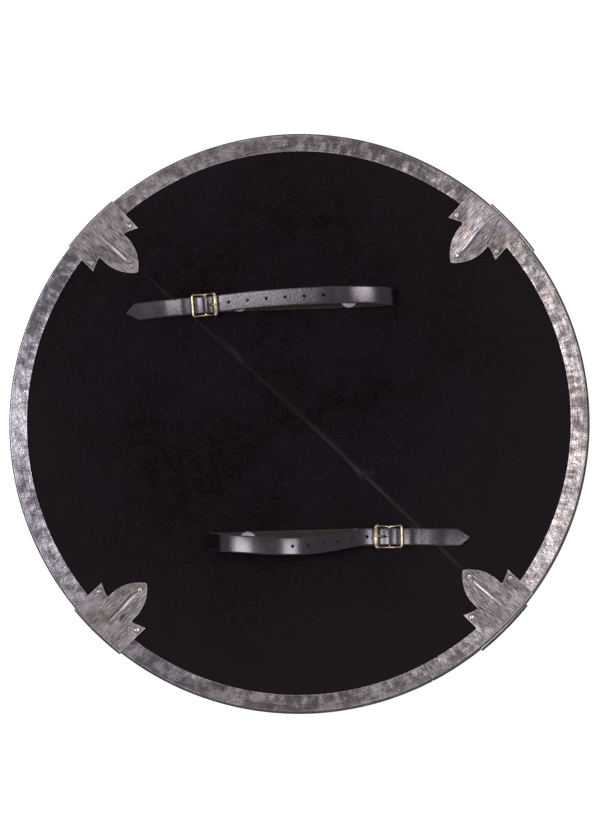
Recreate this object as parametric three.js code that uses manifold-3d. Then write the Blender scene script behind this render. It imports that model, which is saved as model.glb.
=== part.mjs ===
// A round wooden shield, 640 mm across, lying on its front with its back up.
// +Z is up, towards the back of the shield, and +Y is its top edge when it hangs.
// The board is gently dished, so its front face is a part of a large sphere. A small flat on
// the middle of the front lets it lie level, and the origin is the centre of that flat.
// A steel channel is folded over the edge, leaf clips are nailed over the channel on both
// faces, a suede lining covers the back, and two buckled straps are riveted through the board.

import * as THREE from "three";
import { mergeVertices } from "three/addons/utils/BufferGeometryUtils.js";
import Module from "manifold-3d";

const wasm = await Module();
wasm.setup();

// Driving dimensions, in millimetres and degrees

const OUTER_RADIUS = 320; // over the steel channel
const DISH_RADIUS = 1050; // sphere of the board's front face
const REST_RADIUS = 48; // flat on the middle of the front
const BOARD = 10.4; // thickness of the wood
const LINING = 1.4; // thickness of the suede
const STEEL = 1.2; // thickness of the channel and the clips
const GAP = 0.3; // between pieces that touch
const FLANGE = 16; // width of the channel on each face
const FOLD_RADIUS = 2.3; // outer bend of the channel
const ROUND_SEGMENTS = 48;

const STRAP_WIDTH = 18.8;
const LEATHER = 2.6;
const STRAP_POINT = 12.5; // length of the strap's pointed end
const HOLE_RADIUS = 1.9;
const HOLE_COUNT = 6; // free holes, past the one that the prong is in
const LAY_GAP = 0.6; // under a strap, over the flat facets of the lining
const STRAP_STATIONS = 60; // along the whole band

const BAR_RADIUS = 1.6; // centre bar and far bar of a buckle
const FAR_BAR_AWAY = 14.2; // from the centre bar to the far bar
const ARM_OFFSET = 12.1; // from a strap's middle to the middle of a buckle's side
const ARM_WIDTH = 2.6;
const ROLLER_RADIUS = 2.8;
const ROLLER_LENGTH = 19.6;
const PRONG_RADIUS = 1.1;

const RIVET_HEAD_RADIUS = 9.7;
const RIVET_HEAD = 1.5;
const RIVET_SHANK_RADIUS = 2;
const RIVET_FRONT_RADIUS = 6;

const CLIP_HALF_WIDTH = 34.7;
const CLIP_LENGTH = 71.7;
const PIN_HEAD_RADIUS = 3.3;
const PIN_HEAD = 1.6;
const PIN_SHANK = 2.2; // side of the square nail
const PIN_PLACES = [
  ["ear_a", -29.7, 28.9],
  ["ear_b", 29.7, 28.9],
  ["tip", 0, 62],
];

// Each clip: azimuth round the shield, its own small twist, and how far the front plate
// sits round the edge from the back plate.
const CLIPS = [
  { place: "upper_left", azimuth: 136.3, twist: -2.1, frontShift: 0 },
  { place: "upper_right", azimuth: 46.2, twist: 1.0, frontShift: -4.4 },
  { place: "lower_right", azimuth: -42.6, twist: -1.7, frontShift: -2.4 },
  { place: "lower_left", azimuth: -133.5, twist: -1.7, frontShift: 0 },
];

// Sizes that follow

const GRIP = STEEL + GAP + BOARD + GAP + LINING + GAP + STEEL; // outside height of the channel
const SKIN_RADIUS = DISH_RADIUS + GAP + STEEL; // sphere of the channel's front face
const CENTRE_HEIGHT = Math.sqrt(DISH_RADIUS ** 2 - REST_RADIUS ** 2);
const EDGE_ANGLE = Math.asin((OUTER_RADIUS - FOLD_RADIUS) / (SKIN_RADIUS - FOLD_RADIUS));
const BOARD_BACK = DISH_RADIUS - BOARD; // sphere of the board's back face
const LINING_BACK = BOARD_BACK - GAP - LINING; // sphere of the lining's upper face
const LOCAL_RADIUS = OUTER_RADIUS / Math.cos(EDGE_ANGLE); // of the edge, seen square on
const BOARD_EDGE = EDGE_ANGLE + (FOLD_RADIUS - STEEL - GAP) / DISH_RADIUS;
const RING_RADII = [REST_RADIUS, 110, 172, 235, OUTER_RADIUS - FLANGE - 7];

const LAYER_ONE = LAY_GAP + LEATHER / 2; // height of a strap's middle, lying on the lining
const LAYER_TWO = LAYER_ONE + LEATHER + GAP;
const WRAP_RADIUS = BAR_RADIUS + GAP + LEATHER / 2;
const BAR_HEIGHT = LAYER_ONE + WRAP_RADIUS;
const WRAP_TOP = BAR_HEIGHT + WRAP_RADIUS;
const OVER_BAR = WRAP_TOP + LEATHER + GAP;
const UNDER_FAR_BAR = 7.6;
const FAR_BAR_HEIGHT = UNDER_FAR_BAR + LEATHER / 2 + GAP + BAR_RADIUS;

// The straps. A route runs from the pointed end through the buckle, over the arch, down the
// bend and back along the lining, and ends wrapped round the buckle's centre bar. Its points
// are distance from the buckle along the strap and height over the lining. The distance
// counts towards the bend. Plan gives y over x as a cubic: middle, slope, bow and curl. Lean
// is how far the band moves sideways as it rises, and how that changes with distance. Roller
// is where the middle of the buckle's roller is.
const WRAP = [
  [74, LAYER_ONE],
  [66, LAYER_ONE + 1.1],
  [58, LAYER_TWO],
  [18, LAYER_TWO],
  [8, LAYER_TWO + 1.2],
  [0, WRAP_TOP],
  [-WRAP_RADIUS * 0.87, BAR_HEIGHT + WRAP_RADIUS / 2],
  [-WRAP_RADIUS * 0.87, BAR_HEIGHT - WRAP_RADIUS / 2],
  [0, LAYER_ONE],
  [50, LAYER_ONE],
];
const STRAPS = [
  {
    name: "arm",
    towards: 1,
    buckleX: -104.4,
    plan: [136.8, 0.0251, -0.0000689, 0.00000111],
    lean: [0.23, 0],
    rivets: { near: 38.1, far: 161.3 },
    holePitch: 22,
    roller: { x: 11.4, z: 16.2 },
    tail: [
      [-88, 2.6],
      [-72, 2.6],
      [-54, 2.3],
      [-43, 3],
      [-35, 5.3],
      [-26, 7.9],
    ],
    arch: [
      [30, 17.5],
      [60, 25],
      [88, 30],
      [118, 33],
      [142, 34],
      [167, 31.6],
      [182, 28.2],
      [195, 23.4],
      [205, 17.2],
      [211.5, 10.5],
      [212.5, 6],
      [206, 2.4],
      [192, LAYER_ONE],
      [168, LAYER_ONE],
      [148, LAYER_ONE],
      [110, LAYER_ONE],
    ],
  },
  {
    name: "hand",
    towards: -1,
    buckleX: 101.7,
    plan: [-130.1, 0.026, -0.00008, 0],
    lean: [-0.443, 0.00137],
    rivets: { near: 36.4, far: 158 },
    holePitch: 19.05,
    roller: { x: 14.2, z: 12.4 },
    tail: [
      [-88, 2.6],
      [-72, 2.4],
      [-58, 2.5],
      [-47, 3.9],
      [-36, 6.2],
      [-25, 8.1],
    ],
    arch: [
      [23, 9.6],
      [34, 14.5],
      [48, 24],
      [60, 33.2],
      [80, 47.2],
      [95, 54.8],
      [108, 58.8],
      [134, 61.6],
      [161, 58.8],
      [172, 55.4],
      [181, 51],
      [189, 43.5],
      [195, 31],
      [198.5, 16],
      [195.5, 4.8],
      [184, LAYER_ONE],
      [165, LAYER_ONE],
      [145, LAYER_ONE],
      [105, LAYER_ONE],
    ],
  },
];

// Materials

function material(color, roughness, metalness) {
  return new THREE.MeshStandardMaterial({ color, roughness, metalness });
}
const wood = material(0x7a5230, 0.55, 0);
const suede = material(0x16121a, 0.95, 0);
const steel = material(0x9a948f, 0.42, 1);
const leather = material(0x2b2730, 0.45, 0);
const brass = material(0xc3a470, 0.3, 1);
const nickel = material(0xd9d6d8, 0.35, 1);

// Helpers for solids

function solidOf(geometry) {
  const bare = geometry.index ? geometry.toNonIndexed() : geometry.clone();
  bare.deleteAttribute("normal");
  bare.deleteAttribute("uv");
  const merged = mergeVertices(bare, 1e-4);
  const corners = [];
  for (let i = 0; i < merged.index.count; i += 3) {
    const [a, b, c] = [0, 1, 2].map((k) => merged.index.getX(i + k));
    if (a !== b && b !== c && c !== a) corners.push(a, b, c);
  }
  return new wasm.Manifold(
    new wasm.Mesh({
      numProp: 3,
      vertProperties: merged.attributes.position.array,
      triVerts: new Uint32Array(corners),
    }),
  );
}

function meshOf(name, solid, finish) {
  const data = solid.getMesh();
  const geometry = new THREE.BufferGeometry();
  geometry.setAttribute("position", new THREE.BufferAttribute(data.vertProperties, 3));
  geometry.setIndex(new THREE.BufferAttribute(data.triVerts, 1));
  const mesh = new THREE.Mesh(geometry, finish);
  mesh.name = name;
  return mesh;
}

// Turns a profile of [radius, height] round the shield's axis.
function turned(profile) {
  const points = profile.map(([r, z]) => new THREE.Vector2(r, z));
  return solidOf(new THREE.LatheGeometry(points, ROUND_SEGMENTS).rotateX(Math.PI / 2));
}

// An upright rod from height low to height high, with the number of sides given.
function rod(radius, low, high, sides) {
  const made = new THREE.CylinderGeometry(radius, radius, high - low, sides, 1);
  return made.rotateX(Math.PI / 2).translate(0, 0, (low + high) / 2);
}

// A domed head on the plane at height low.
function dome(radius, low, height, sides) {
  const profile = [
    [0, low],
    [radius, low],
    [radius * 0.75, low + height],
    [0, low + height],
  ].map(([r, z]) => new THREE.Vector2(r, z));
  return new THREE.LatheGeometry(profile, sides).rotateX(Math.PI / 2);
}

// The dish

function onSphere(radius, angle) {
  return [radius * Math.sin(angle), CENTRE_HEIGHT - radius * Math.cos(angle)];
}

const RING_ANGLES = [...RING_RADII.map((r) => Math.asin(r / DISH_RADIUS)), BOARD_EDGE];

// Upper face of a dished layer, from the edge to the axis.
function facingUp(radius) {
  const rings = RING_ANGLES.map((angle) => onSphere(radius, angle)).reverse();
  return [...rings, [0, CENTRE_HEIGHT - radius]];
}

// Lower face of a dished layer, from the axis to the edge.
function facingDown(radius) {
  return facingUp(radius).reverse();
}

function boardSolid() {
  const front = facingDown(DISH_RADIUS);
  front[0] = [0, 0]; // the flat that the shield rests on
  return turned([...front, ...facingUp(BOARD_BACK)]);
}

function liningSolid() {
  return turned([...facingDown(BOARD_BACK - GAP), ...facingUp(LINING_BACK)]);
}

// The place on the edge where clips sit: u along the edge, v inwards over the back, b up
// out of the back, measured from the front face of the channel.
function edgeFrame(azimuth) {
  const turn = THREE.MathUtils.degToRad(azimuth);
  const round = new THREE.Vector3(Math.cos(turn), Math.sin(turn), 0);
  const along = new THREE.Vector3(-Math.sin(turn), Math.cos(turn), 0);
  const upward = round.clone().multiplyScalar(-Math.sin(EDGE_ANGLE));
  upward.z = Math.cos(EDGE_ANGLE);
  const inward = upward.clone().cross(along);
  const [r, z] = onSphere(SKIN_RADIUS, EDGE_ANGLE);
  const frame = new THREE.Matrix4().makeBasis(along, inward, upward);
  return frame.setPosition(round.multiplyScalar(r).setZ(z));
}

// The channel: a U round the edge, with rounded outer bends and a butt joint.
function rimSolid() {
  const bend = [];
  for (const step of [0, 1, 2]) {
    const turn = (step * Math.PI) / 4;
    const out = FOLD_RADIUS * Math.sin(turn);
    bend.push([out, FOLD_RADIUS - FOLD_RADIUS * Math.cos(turn)]);
  }
  const inner = FOLD_RADIUS - STEEL;
  const outline = [
    [-FLANGE, 0],
    ...bend,
    ...bend.map(([a, b]) => [a, GRIP - b]).reverse(),
    [-FLANGE, GRIP],
    [-FLANGE, GRIP - STEEL],
    [inner, GRIP - STEEL],
    [inner, STEEL],
    [-FLANGE, STEEL],
    [-FLANGE, 0],
  ];
  const [r, z] = onSphere(SKIN_RADIUS, EDGE_ANGLE);
  const [sine, cosine] = [Math.sin(EDGE_ANGLE), Math.cos(EDGE_ANGLE)];
  const placed = outline.map(([a, b]) => [
    r + a * cosine - b * sine,
    z + a * sine + b * cosine,
  ]);
  const jointAzimuth = -62.5;
  const joint = new THREE.BoxGeometry(0.6, 3 * FLANGE, 3 * GRIP);
  joint.applyMatrix4(edgeFrame(jointAzimuth));
  return turned(placed).subtract(solidOf(joint));
}

// Leaf clips

// The leaf plate: square on the edge, two ears, and a pointed leaf between them.
function leafOutline(overhang) {
  const corner = LOCAL_RADIUS - Math.sqrt(LOCAL_RADIUS ** 2 - CLIP_HALF_WIDTH ** 2);
  const leaf = new THREE.Shape();
  leaf.moveTo(-CLIP_HALF_WIDTH, corner - overhang);
  leaf.quadraticCurveTo(0, -corner - overhang, CLIP_HALF_WIDTH, corner - overhang);
  for (const side of [1, -1]) {
    const half = [
      [CLIP_HALF_WIDTH, 37.2],
      [20.4, 31.6],
      [18.3, 33.4],
      [18, 44],
      [12, 60],
      [0, CLIP_LENGTH],
    ];
    const points = side > 0 ? half : half.reverse().slice(1);
    for (const [u, v] of points) leaf.lineTo(side * u, v);
  }
  leaf.closePath();
  return leaf;
}

function plate(overhang, base, slope) {
  const made = new THREE.ExtrudeGeometry(leafOutline(overhang), {
    depth: STEEL,
    bevelEnabled: false,
    curveSegments: 4,
  });
  return solidOf(made.rotateX(Math.atan(slope)).translate(0, 0, base));
}

// Height and slope of each plate over the channel's front face. The back plate lies on the
// channel and the lining, and the front one on the channel and the board.
const BACK_BASE = GRIP + GAP + 0.6;
const BACK_SLOPE = 0.0105;
const FRONT_BASE = -1.05 - STEEL;
const FRONT_SLOPE = 0.05;

// The strip of the front plate that is folded up over the edge of the shield.
function lipSolid() {
  const near = FOLD_RADIUS + GAP;
  const corner = LOCAL_RADIUS - Math.sqrt(LOCAL_RADIUS ** 2 - CLIP_HALF_WIDTH ** 2);
  const strip = new THREE.Shape();
  strip.moveTo(-CLIP_HALF_WIDTH, corner - near - STEEL);
  strip.quadraticCurveTo(
    0,
    -corner - near - STEEL,
    CLIP_HALF_WIDTH,
    corner - near - STEEL,
  );
  strip.lineTo(CLIP_HALF_WIDTH, corner - near);
  strip.quadraticCurveTo(0, -corner - near, -CLIP_HALF_WIDTH, corner - near);
  const low = FRONT_BASE + 0.2;
  const made = new THREE.ExtrudeGeometry(strip, {
    depth: GRIP - FOLD_RADIUS - low,
    bevelEnabled: false,
    curveSegments: 4,
  });
  return solidOf(made.translate(0, 0, low));
}

// A square nail in the back or the front plate. Slack widens it to make its hole.
function pinSolid(u, v, isBack, slack) {
  const base = isBack ? BACK_BASE + STEEL + v * BACK_SLOPE : FRONT_BASE + v * FRONT_SLOPE;
  const seat = isBack ? base + GAP : base - GAP;
  const point = isBack ? 7.2 - slack : 6.2 + slack;
  const side = PIN_SHANK + 2 * slack;
  const shank = new THREE.BoxGeometry(side, side, Math.abs(seat - point) + GAP);
  const middle = (seat + point) / 2 + (isBack ? GAP : -GAP) / 2;
  const shankSolid = solidOf(shank.translate(u, v, middle));
  if (slack > 0) return shankSolid;
  const head = dome(PIN_HEAD_RADIUS, 0, PIN_HEAD, 6);
  if (!isBack) head.rotateX(Math.PI);
  return solidOf(head.translate(u, v, seat)).add(shankSolid);
}

function placed(solid, matrix) {
  return solid.transform(matrix.elements);
}

// Straps

function planOf(strap, x) {
  const [middle, slope, bow, curl] = strap.plan;
  return middle + slope * x + bow * x * x + curl * x * x * x;
}

// A point over the lining, and the directions along, across and out of it.
function overLining(strap, distance, height) {
  const x = strap.buckleX + strap.towards * distance;
  const y = planOf(strap, x);
  const z = CENTRE_HEIGHT - Math.sqrt(LINING_BACK ** 2 - x * x - y * y);
  const outward = new THREE.Vector3(-x, -y, CENTRE_HEIGHT - z).normalize();
  const step = 0.5;
  const heading = new THREE.Vector3(
    2 * step,
    planOf(strap, x + step) - planOf(strap, x - step),
    0,
  );
  const across = outward.clone().cross(heading).normalize();
  const along = across.clone().cross(outward).multiplyScalar(strap.towards);
  const lean = strap.lean[0] + strap.lean[1] * distance;
  const raised = Math.max(0, height - OVER_BAR);
  const point = new THREE.Vector3(x, y, z)
    .addScaledVector(outward, height)
    .addScaledVector(across, lean * raised);
  return { point, along, across, outward };
}

function frameOver(strap, distance) {
  const { point, along, across, outward } = overLining(strap, distance, 0);
  const sideways = outward.clone().cross(along);
  return new THREE.Matrix4().makeBasis(along, sideways, outward).setPosition(point);
}

// Every point of a strap's route.
function routeOf(strap) {
  const { x, z } = strap.roller;
  const under = z - ROLLER_RADIUS - GAP - LEATHER / 2;
  const buckle = [
    [-13, UNDER_FAR_BAR],
    [-7, OVER_BAR - 1],
    [0, OVER_BAR],
    [x / 2, (OVER_BAR + UNDER_FAR_BAR) / 2],
    [x, under],
  ];
  return [...strap.tail, ...buckle, ...strap.arch, ...WRAP];
}

// The leather band: a long box whose stations follow the route.
function strapSolid(strap) {
  const route = routeOf(strap);
  const curve = new THREE.CatmullRomCurve3(
    route.map(([distance, height]) => new THREE.Vector3(distance, height, 0)),
  );
  const band = new THREE.BoxGeometry(1, 1, 1, STRAP_STATIONS, 1, 1);
  const positions = band.attributes.position;
  for (let i = 0; i < positions.count; i += 1) {
    const share = positions.getX(i) + 0.5;
    const side = positions.getY(i);
    const thick = positions.getZ(i);
    const spot = curve.getPoint(share);
    const way = curve.getTangent(share);
    const distance = spot.x - way.y * thick * LEATHER;
    const height = Math.max(LAYER_ONE, spot.y) + way.x * thick * LEATHER;
    const fromTip = spot.x - route[0][0];
    const isTail = share < 0.25;
    const taper = isTail ? Math.min(1, 0.04 + fromTip / STRAP_POINT) : 1;
    const place = overLining(strap, distance, height);
    place.point.addScaledVector(place.across, strap.towards * side * STRAP_WIDTH * taper);
    positions.setXYZ(i, place.point.x, place.point.y, place.point.z);
  }
  let solid = solidOf(band);
  const prongHole = 6;
  let passed = 0;
  let previous = curve.getPoint(0);
  let next = 1;
  let prongAt = null;
  const samples = 4000;
  for (let i = 1; i <= samples && next <= HOLE_COUNT; i += 1) {
    const spot = curve.getPoint(i / samples);
    passed += spot.distanceTo(previous);
    previous = spot;
    if (prongAt === null && spot.x > prongHole) prongAt = passed;
    if (prongAt === null || passed < prongAt + next * strap.holePitch) continue;
    const way = curve.getTangent(i / samples);
    const tool = rod(HOLE_RADIUS, -LEATHER, LEATHER, 6);
    const low = overLining(strap, spot.x + way.y, spot.y - way.x).point;
    const high = overLining(strap, spot.x - way.y, spot.y + way.x).point;
    const axis = high.clone().sub(low).normalize();
    tool.applyQuaternion(
      new THREE.Quaternion().setFromUnitVectors(new THREE.Vector3(0, 0, 1), axis),
    );
    const centre = low.add(high).multiplyScalar(0.5);
    solid = solid.subtract(solidOf(tool.translate(centre.x, centre.y, centre.z)));
    next += 1;
  }
  return solid;
}

// Buckles, made over the centre bar: x towards the roller, z out of the lining.

// A bar across the strap.
function crossBar(radius, length, x, z, sides) {
  const made = new THREE.CylinderGeometry(radius, radius, length, sides, 1);
  return solidOf(made.translate(x, 0, z));
}

// One side of the frame: it dips to the centre bar between the far bar and the roller.
function frameArm({ x, z }, offset) {
  const outline = new THREE.Shape();
  const [far, half] = [FAR_BAR_AWAY, BAR_RADIUS];
  outline.moveTo(-far - half, FAR_BAR_HEIGHT - half);
  outline.lineTo(-far + half, FAR_BAR_HEIGHT - half);
  outline.quadraticCurveTo(-4, BAR_HEIGHT - half, 0, BAR_HEIGHT - half);
  outline.quadraticCurveTo(4, BAR_HEIGHT - half, x - half, z - half);
  outline.lineTo(x + half, z - half);
  outline.lineTo(x + half, z + half);
  outline.lineTo(x - half, z + half);
  outline.quadraticCurveTo(4, BAR_HEIGHT + half, 0, BAR_HEIGHT + half);
  outline.quadraticCurveTo(-4, BAR_HEIGHT + half, -far + half, FAR_BAR_HEIGHT + half);
  outline.lineTo(-far - half, FAR_BAR_HEIGHT + half);
  const made = new THREE.ExtrudeGeometry(outline, {
    depth: ARM_WIDTH,
    bevelEnabled: false,
    curveSegments: 3,
  });
  return solidOf(made.rotateX(Math.PI / 2).translate(0, offset + ARM_WIDTH / 2, 0));
}

function buckleFrame(roller) {
  const length = 2 * ARM_OFFSET;
  const rollerPin = 1.5;
  return frameArm(roller, ARM_OFFSET)
    .add(frameArm(roller, -ARM_OFFSET))
    .add(crossBar(BAR_RADIUS, length, -FAR_BAR_AWAY, FAR_BAR_HEIGHT, 8))
    .add(crossBar(BAR_RADIUS, length, 0, BAR_HEIGHT, 8))
    .add(crossBar(rollerPin, length, roller.x, roller.z, 8));
}

function buckleRoller({ x, z }) {
  const bore = 1.5 + GAP;
  const shell = crossBar(ROLLER_RADIUS, ROLLER_LENGTH, x, z, 8);
  return shell.subtract(crossBar(bore, 2 * ROLLER_LENGTH, x, z, 8));
}

// The prong: an eye on the centre bar and a bar that rises through the strap to the roller.
// Slack widens it to make the opening that it needs in the leather.
function buckleProng({ x, z }, slack) {
  const eyeRadius = BAR_RADIUS + GAP + 1.5;
  const width = 2 * PRONG_RADIUS + 2 * slack;
  const rest = z + ROLLER_RADIUS + GAP + PRONG_RADIUS;
  const half = PRONG_RADIUS + slack;
  const bar = new THREE.Shape();
  bar.moveTo(1, BAR_HEIGHT + eyeRadius - 2 * PRONG_RADIUS - slack);
  bar.lineTo(4.2, BAR_HEIGHT + 0.6 - slack);
  bar.lineTo(x - 3, rest - half);
  bar.lineTo(x + 3.2, rest - half);
  bar.lineTo(x + 2.6, rest + half);
  bar.lineTo(x - 4, rest + half);
  bar.lineTo(1.6, BAR_HEIGHT + eyeRadius + slack);
  const made = new THREE.ExtrudeGeometry(bar, { depth: width, bevelEnabled: false });
  const solid = solidOf(made.rotateX(Math.PI / 2).translate(0, width / 2, 0));
  const eye = crossBar(eyeRadius + slack, width, 0, BAR_HEIGHT, 10);
  const bore = crossBar(BAR_RADIUS + GAP, 4 * width, 0, BAR_HEIGHT, 10);
  return solid.add(eye).subtract(bore);
}

// The slot that a strap's wrapped end has for the eye of the prong.
function eyeSlot() {
  const [length, width, height] = [2 * WRAP_RADIUS + LEATHER + 4, 3.6, OVER_BAR - LEATHER / 2];
  const box = new THREE.BoxGeometry(length, width, height - GAP);
  return solidOf(box.translate(0, 0, (height - GAP) / 2));
}

// A flat rivet through the strap, the lining and the board. Slack widens its shank alone.
function strapRivet(top, slack) {
  const bottom = LINING_BACK - DISH_RADIUS - GAP;
  const shank = solidOf(rod(RIVET_SHANK_RADIUS + slack, bottom - 0.5, top + 0.5, 6));
  if (slack > 0) return shank;
  const head = solidOf(dome(RIVET_HEAD_RADIUS, top, RIVET_HEAD, 12));
  const frontHead = dome(RIVET_FRONT_RADIUS, 0, RIVET_HEAD, 7).rotateX(Math.PI);
  return shank.add(head).add(solidOf(frontHead.translate(0, 0, bottom)));
}

// The shield

const shield = new THREE.Group();
let board = boardSolid();
let lining = liningSolid();

for (const clip of CLIPS) {
  for (const isBack of [true, false]) {
    const face = isBack ? "back" : "front";
    const azimuth = clip.azimuth + (isBack ? 0 : clip.frontShift);
    const twist = new THREE.Matrix4().makeRotationZ(THREE.MathUtils.degToRad(clip.twist));
    const frame = edgeFrame(azimuth);
    if (isBack) frame.multiply(twist);
    let leaf = isBack
      ? plate(0, BACK_BASE, BACK_SLOPE)
      : plate(FOLD_RADIUS + GAP + STEEL, FRONT_BASE, FRONT_SLOPE).add(lipSolid());
    for (const [pin, u, v] of PIN_PLACES) {
      const hole = pinSolid(u, v, isBack, GAP);
      leaf = leaf.subtract(hole);
      board = board.subtract(placed(hole, frame));
      if (isBack) lining = lining.subtract(placed(hole, frame));
      const nail = placed(pinSolid(u, v, isBack, 0), frame);
      shield.add(meshOf(`pin_${face}_${clip.place}_${pin}`, nail, steel));
    }
    shield.add(meshOf(`clip_${face}_${clip.place}`, placed(leaf, frame), steel));
  }
}

for (const strap of STRAPS) {
  let band = strapSolid(strap);
  const atBuckle = frameOver(strap, 0);
  band = band.subtract(placed(buckleProng(strap.roller, GAP), atBuckle));
  band = band.subtract(placed(eyeSlot(), atBuckle));
  for (const [end, distance] of Object.entries(strap.rivets)) {
    const layer = end === "near" ? LAYER_TWO : LAYER_ONE;
    const top = layer + LEATHER / 2 + GAP;
    const frame = frameOver(strap, distance);
    const hole = placed(strapRivet(top, GAP), frame);
    band = band.subtract(hole);
    lining = lining.subtract(hole);
    board = board.subtract(hole);
    const rivet = placed(strapRivet(top, 0), frame);
    shield.add(meshOf(`${strap.name}_strap_rivet_${end}`, rivet, nickel));
  }
  shield.add(meshOf(`${strap.name}_strap`, band, leather));
  shield.add(meshOf(`${strap.name}_buckle_frame`, placed(buckleFrame(strap.roller), atBuckle), brass));
  shield.add(meshOf(`${strap.name}_buckle_roller`, placed(buckleRoller(strap.roller), atBuckle), brass));
  shield.add(meshOf(`${strap.name}_buckle_prong`, placed(buckleProng(strap.roller, 0), atBuckle), brass));
}

shield.add(meshOf("board", board, wood));
shield.add(meshOf("back_lining", lining, suede));
shield.add(meshOf("rim", rimSolid(), steel));

export default shield;
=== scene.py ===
"""A round wooden shield lying on its front, with its back, straps and steel edge up.

Everything is in metres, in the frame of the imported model: +Z out of the back of the shield,
+Y towards its top edge. The board and its lining are layers of one large dished sphere.
"""

import math
from bisect import bisect_left

import bmesh
import bpy
from mathutils import Matrix, Vector, noise


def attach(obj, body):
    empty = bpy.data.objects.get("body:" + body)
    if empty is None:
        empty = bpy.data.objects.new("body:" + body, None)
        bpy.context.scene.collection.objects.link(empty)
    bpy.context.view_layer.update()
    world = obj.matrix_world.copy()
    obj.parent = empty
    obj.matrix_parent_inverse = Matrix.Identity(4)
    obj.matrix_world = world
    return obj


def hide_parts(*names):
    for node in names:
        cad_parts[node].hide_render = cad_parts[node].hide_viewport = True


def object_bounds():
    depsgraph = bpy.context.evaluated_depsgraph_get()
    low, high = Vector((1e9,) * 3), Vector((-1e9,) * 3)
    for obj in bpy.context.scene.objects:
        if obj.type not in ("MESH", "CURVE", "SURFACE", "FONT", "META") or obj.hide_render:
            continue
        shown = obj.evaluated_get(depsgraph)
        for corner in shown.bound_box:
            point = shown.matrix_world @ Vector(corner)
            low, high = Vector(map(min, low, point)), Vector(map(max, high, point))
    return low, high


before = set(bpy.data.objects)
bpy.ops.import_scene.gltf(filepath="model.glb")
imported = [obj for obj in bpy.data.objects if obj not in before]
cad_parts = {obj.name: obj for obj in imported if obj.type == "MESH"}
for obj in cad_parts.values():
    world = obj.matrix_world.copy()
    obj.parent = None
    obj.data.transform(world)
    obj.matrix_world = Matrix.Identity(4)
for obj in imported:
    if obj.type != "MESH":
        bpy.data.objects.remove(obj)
CAD_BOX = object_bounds()

MM = 0.001

# The dish and the channel round its edge

OUTER_RADIUS = (CAD_BOX[1].x - CAD_BOX[0].x) / 2  # over the steel channel
ROUND_RADIUS = 320 * MM  # of the true round, a hair more than the box over its facets
DISH_RADIUS = 1050 * MM  # sphere of the board's front face
REST_RADIUS = 48 * MM  # flat on the middle of the front
BOARD = 10.4 * MM
LINING = 1.4 * MM
STEEL = 1.2 * MM
GAP = 0.3 * MM
FLANGE = 16 * MM
FOLD_RADIUS = 2.3 * MM
JOINT_AZIMUTH = -62.5  # butt joint of the channel, in degrees
JOINT_WIDTH = 0.6 * MM

GRIP = STEEL + GAP + BOARD + GAP + LINING + GAP + STEEL
SKIN_RADIUS = DISH_RADIUS + GAP + STEEL
CENTRE_HEIGHT = math.sqrt(DISH_RADIUS**2 - REST_RADIUS**2)
EDGE_ANGLE = math.asin((ROUND_RADIUS - FOLD_RADIUS) / (SKIN_RADIUS - FOLD_RADIUS))
BOARD_BACK = DISH_RADIUS - BOARD
LINING_BACK = BOARD_BACK - GAP - LINING
LOCAL_RADIUS = ROUND_RADIUS / math.cos(EDGE_ANGLE)
BOARD_EDGE = EDGE_ANGLE + (FOLD_RADIUS - STEEL - GAP) / DISH_RADIUS

# Straps, buckles and rivets

STRAP_WIDTH = 18.8 * MM
LEATHER = 2.6 * MM
LAYER_ONE = 0.6 * MM + LEATHER / 2  # height of a strap's middle, lying on the lining
LAYER_TWO = LAYER_ONE + LEATHER + GAP
BAR_RADIUS = 1.6 * MM
WRAP_RADIUS = BAR_RADIUS + GAP + LEATHER / 2
BAR_HEIGHT = LAYER_ONE + WRAP_RADIUS
WRAP_TOP = BAR_HEIGHT + WRAP_RADIUS
OVER_BAR = WRAP_TOP + LEATHER + GAP
UNDER_FAR_BAR = 7.6 * MM
ROLLER_RADIUS = 2.8 * MM
ROLLER_LENGTH = 19.6 * MM
UNDER_ROLLER = LEATHER / 2 + GAP + ROLLER_RADIUS  # strap's middle to the roller's axis
FAR_BAR_HEIGHT = UNDER_FAR_BAR + LEATHER / 2 + GAP + BAR_RADIUS
FAR_BAR_AWAY = 14.2 * MM
ARM_OFFSET = 12.1 * MM
HOLE_RADIUS = 1.9 * MM
HOLE_COUNT = 6

PLACES = ("upper_left", "upper_right", "lower_right", "lower_left")
PINS = {"ear_a": (-29.7, 28.9), "ear_b": (29.7, 28.9), "tip": (0, 62)}  # mm
CLIPS = {  # angles in degrees, the overhang of the back plate in mm
    "upper_left": {"azimuth": 136.3, "twist": -2.1, "front_shift": 0, "browning": 0.2, "over": 3.2},
    "upper_right": {"azimuth": 46.2, "twist": 1, "front_shift": -4.4, "browning": 0.5, "over": 1.9},
    "lower_right": {"azimuth": -42.6, "twist": -1.7, "front_shift": -2.4, "browning": 0.3, "over": 1.9},
    "lower_left": {"azimuth": -133.5, "twist": -1.7, "front_shift": 0, "browning": 0.7, "over": 3.2},
}
CLIP_HALF_WIDTH = 34.7 * MM
BACK_SEAT = GRIP + 0.15 * MM  # underside of a back plate, at the edge of the shield
BACK_SLOPE = 0.0135
FRONT_SEAT = -1.05 * MM  # upper side of a front plate, at the edge of the shield
FRONT_SLOPE = 0.035
NAIL_RADIUS = 3.2 * MM
NAIL_HEIGHT = 1.75 * MM
NAIL_SHANK = 2.2 * MM
NAIL_LENGTH = 6 * MM

# Each strap's route is distance from its buckle and height over the lining, in mm. It runs
# from the pointed end through the buckle, over the arch, back along the lining, and ends
# wrapped round the centre bar.

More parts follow.
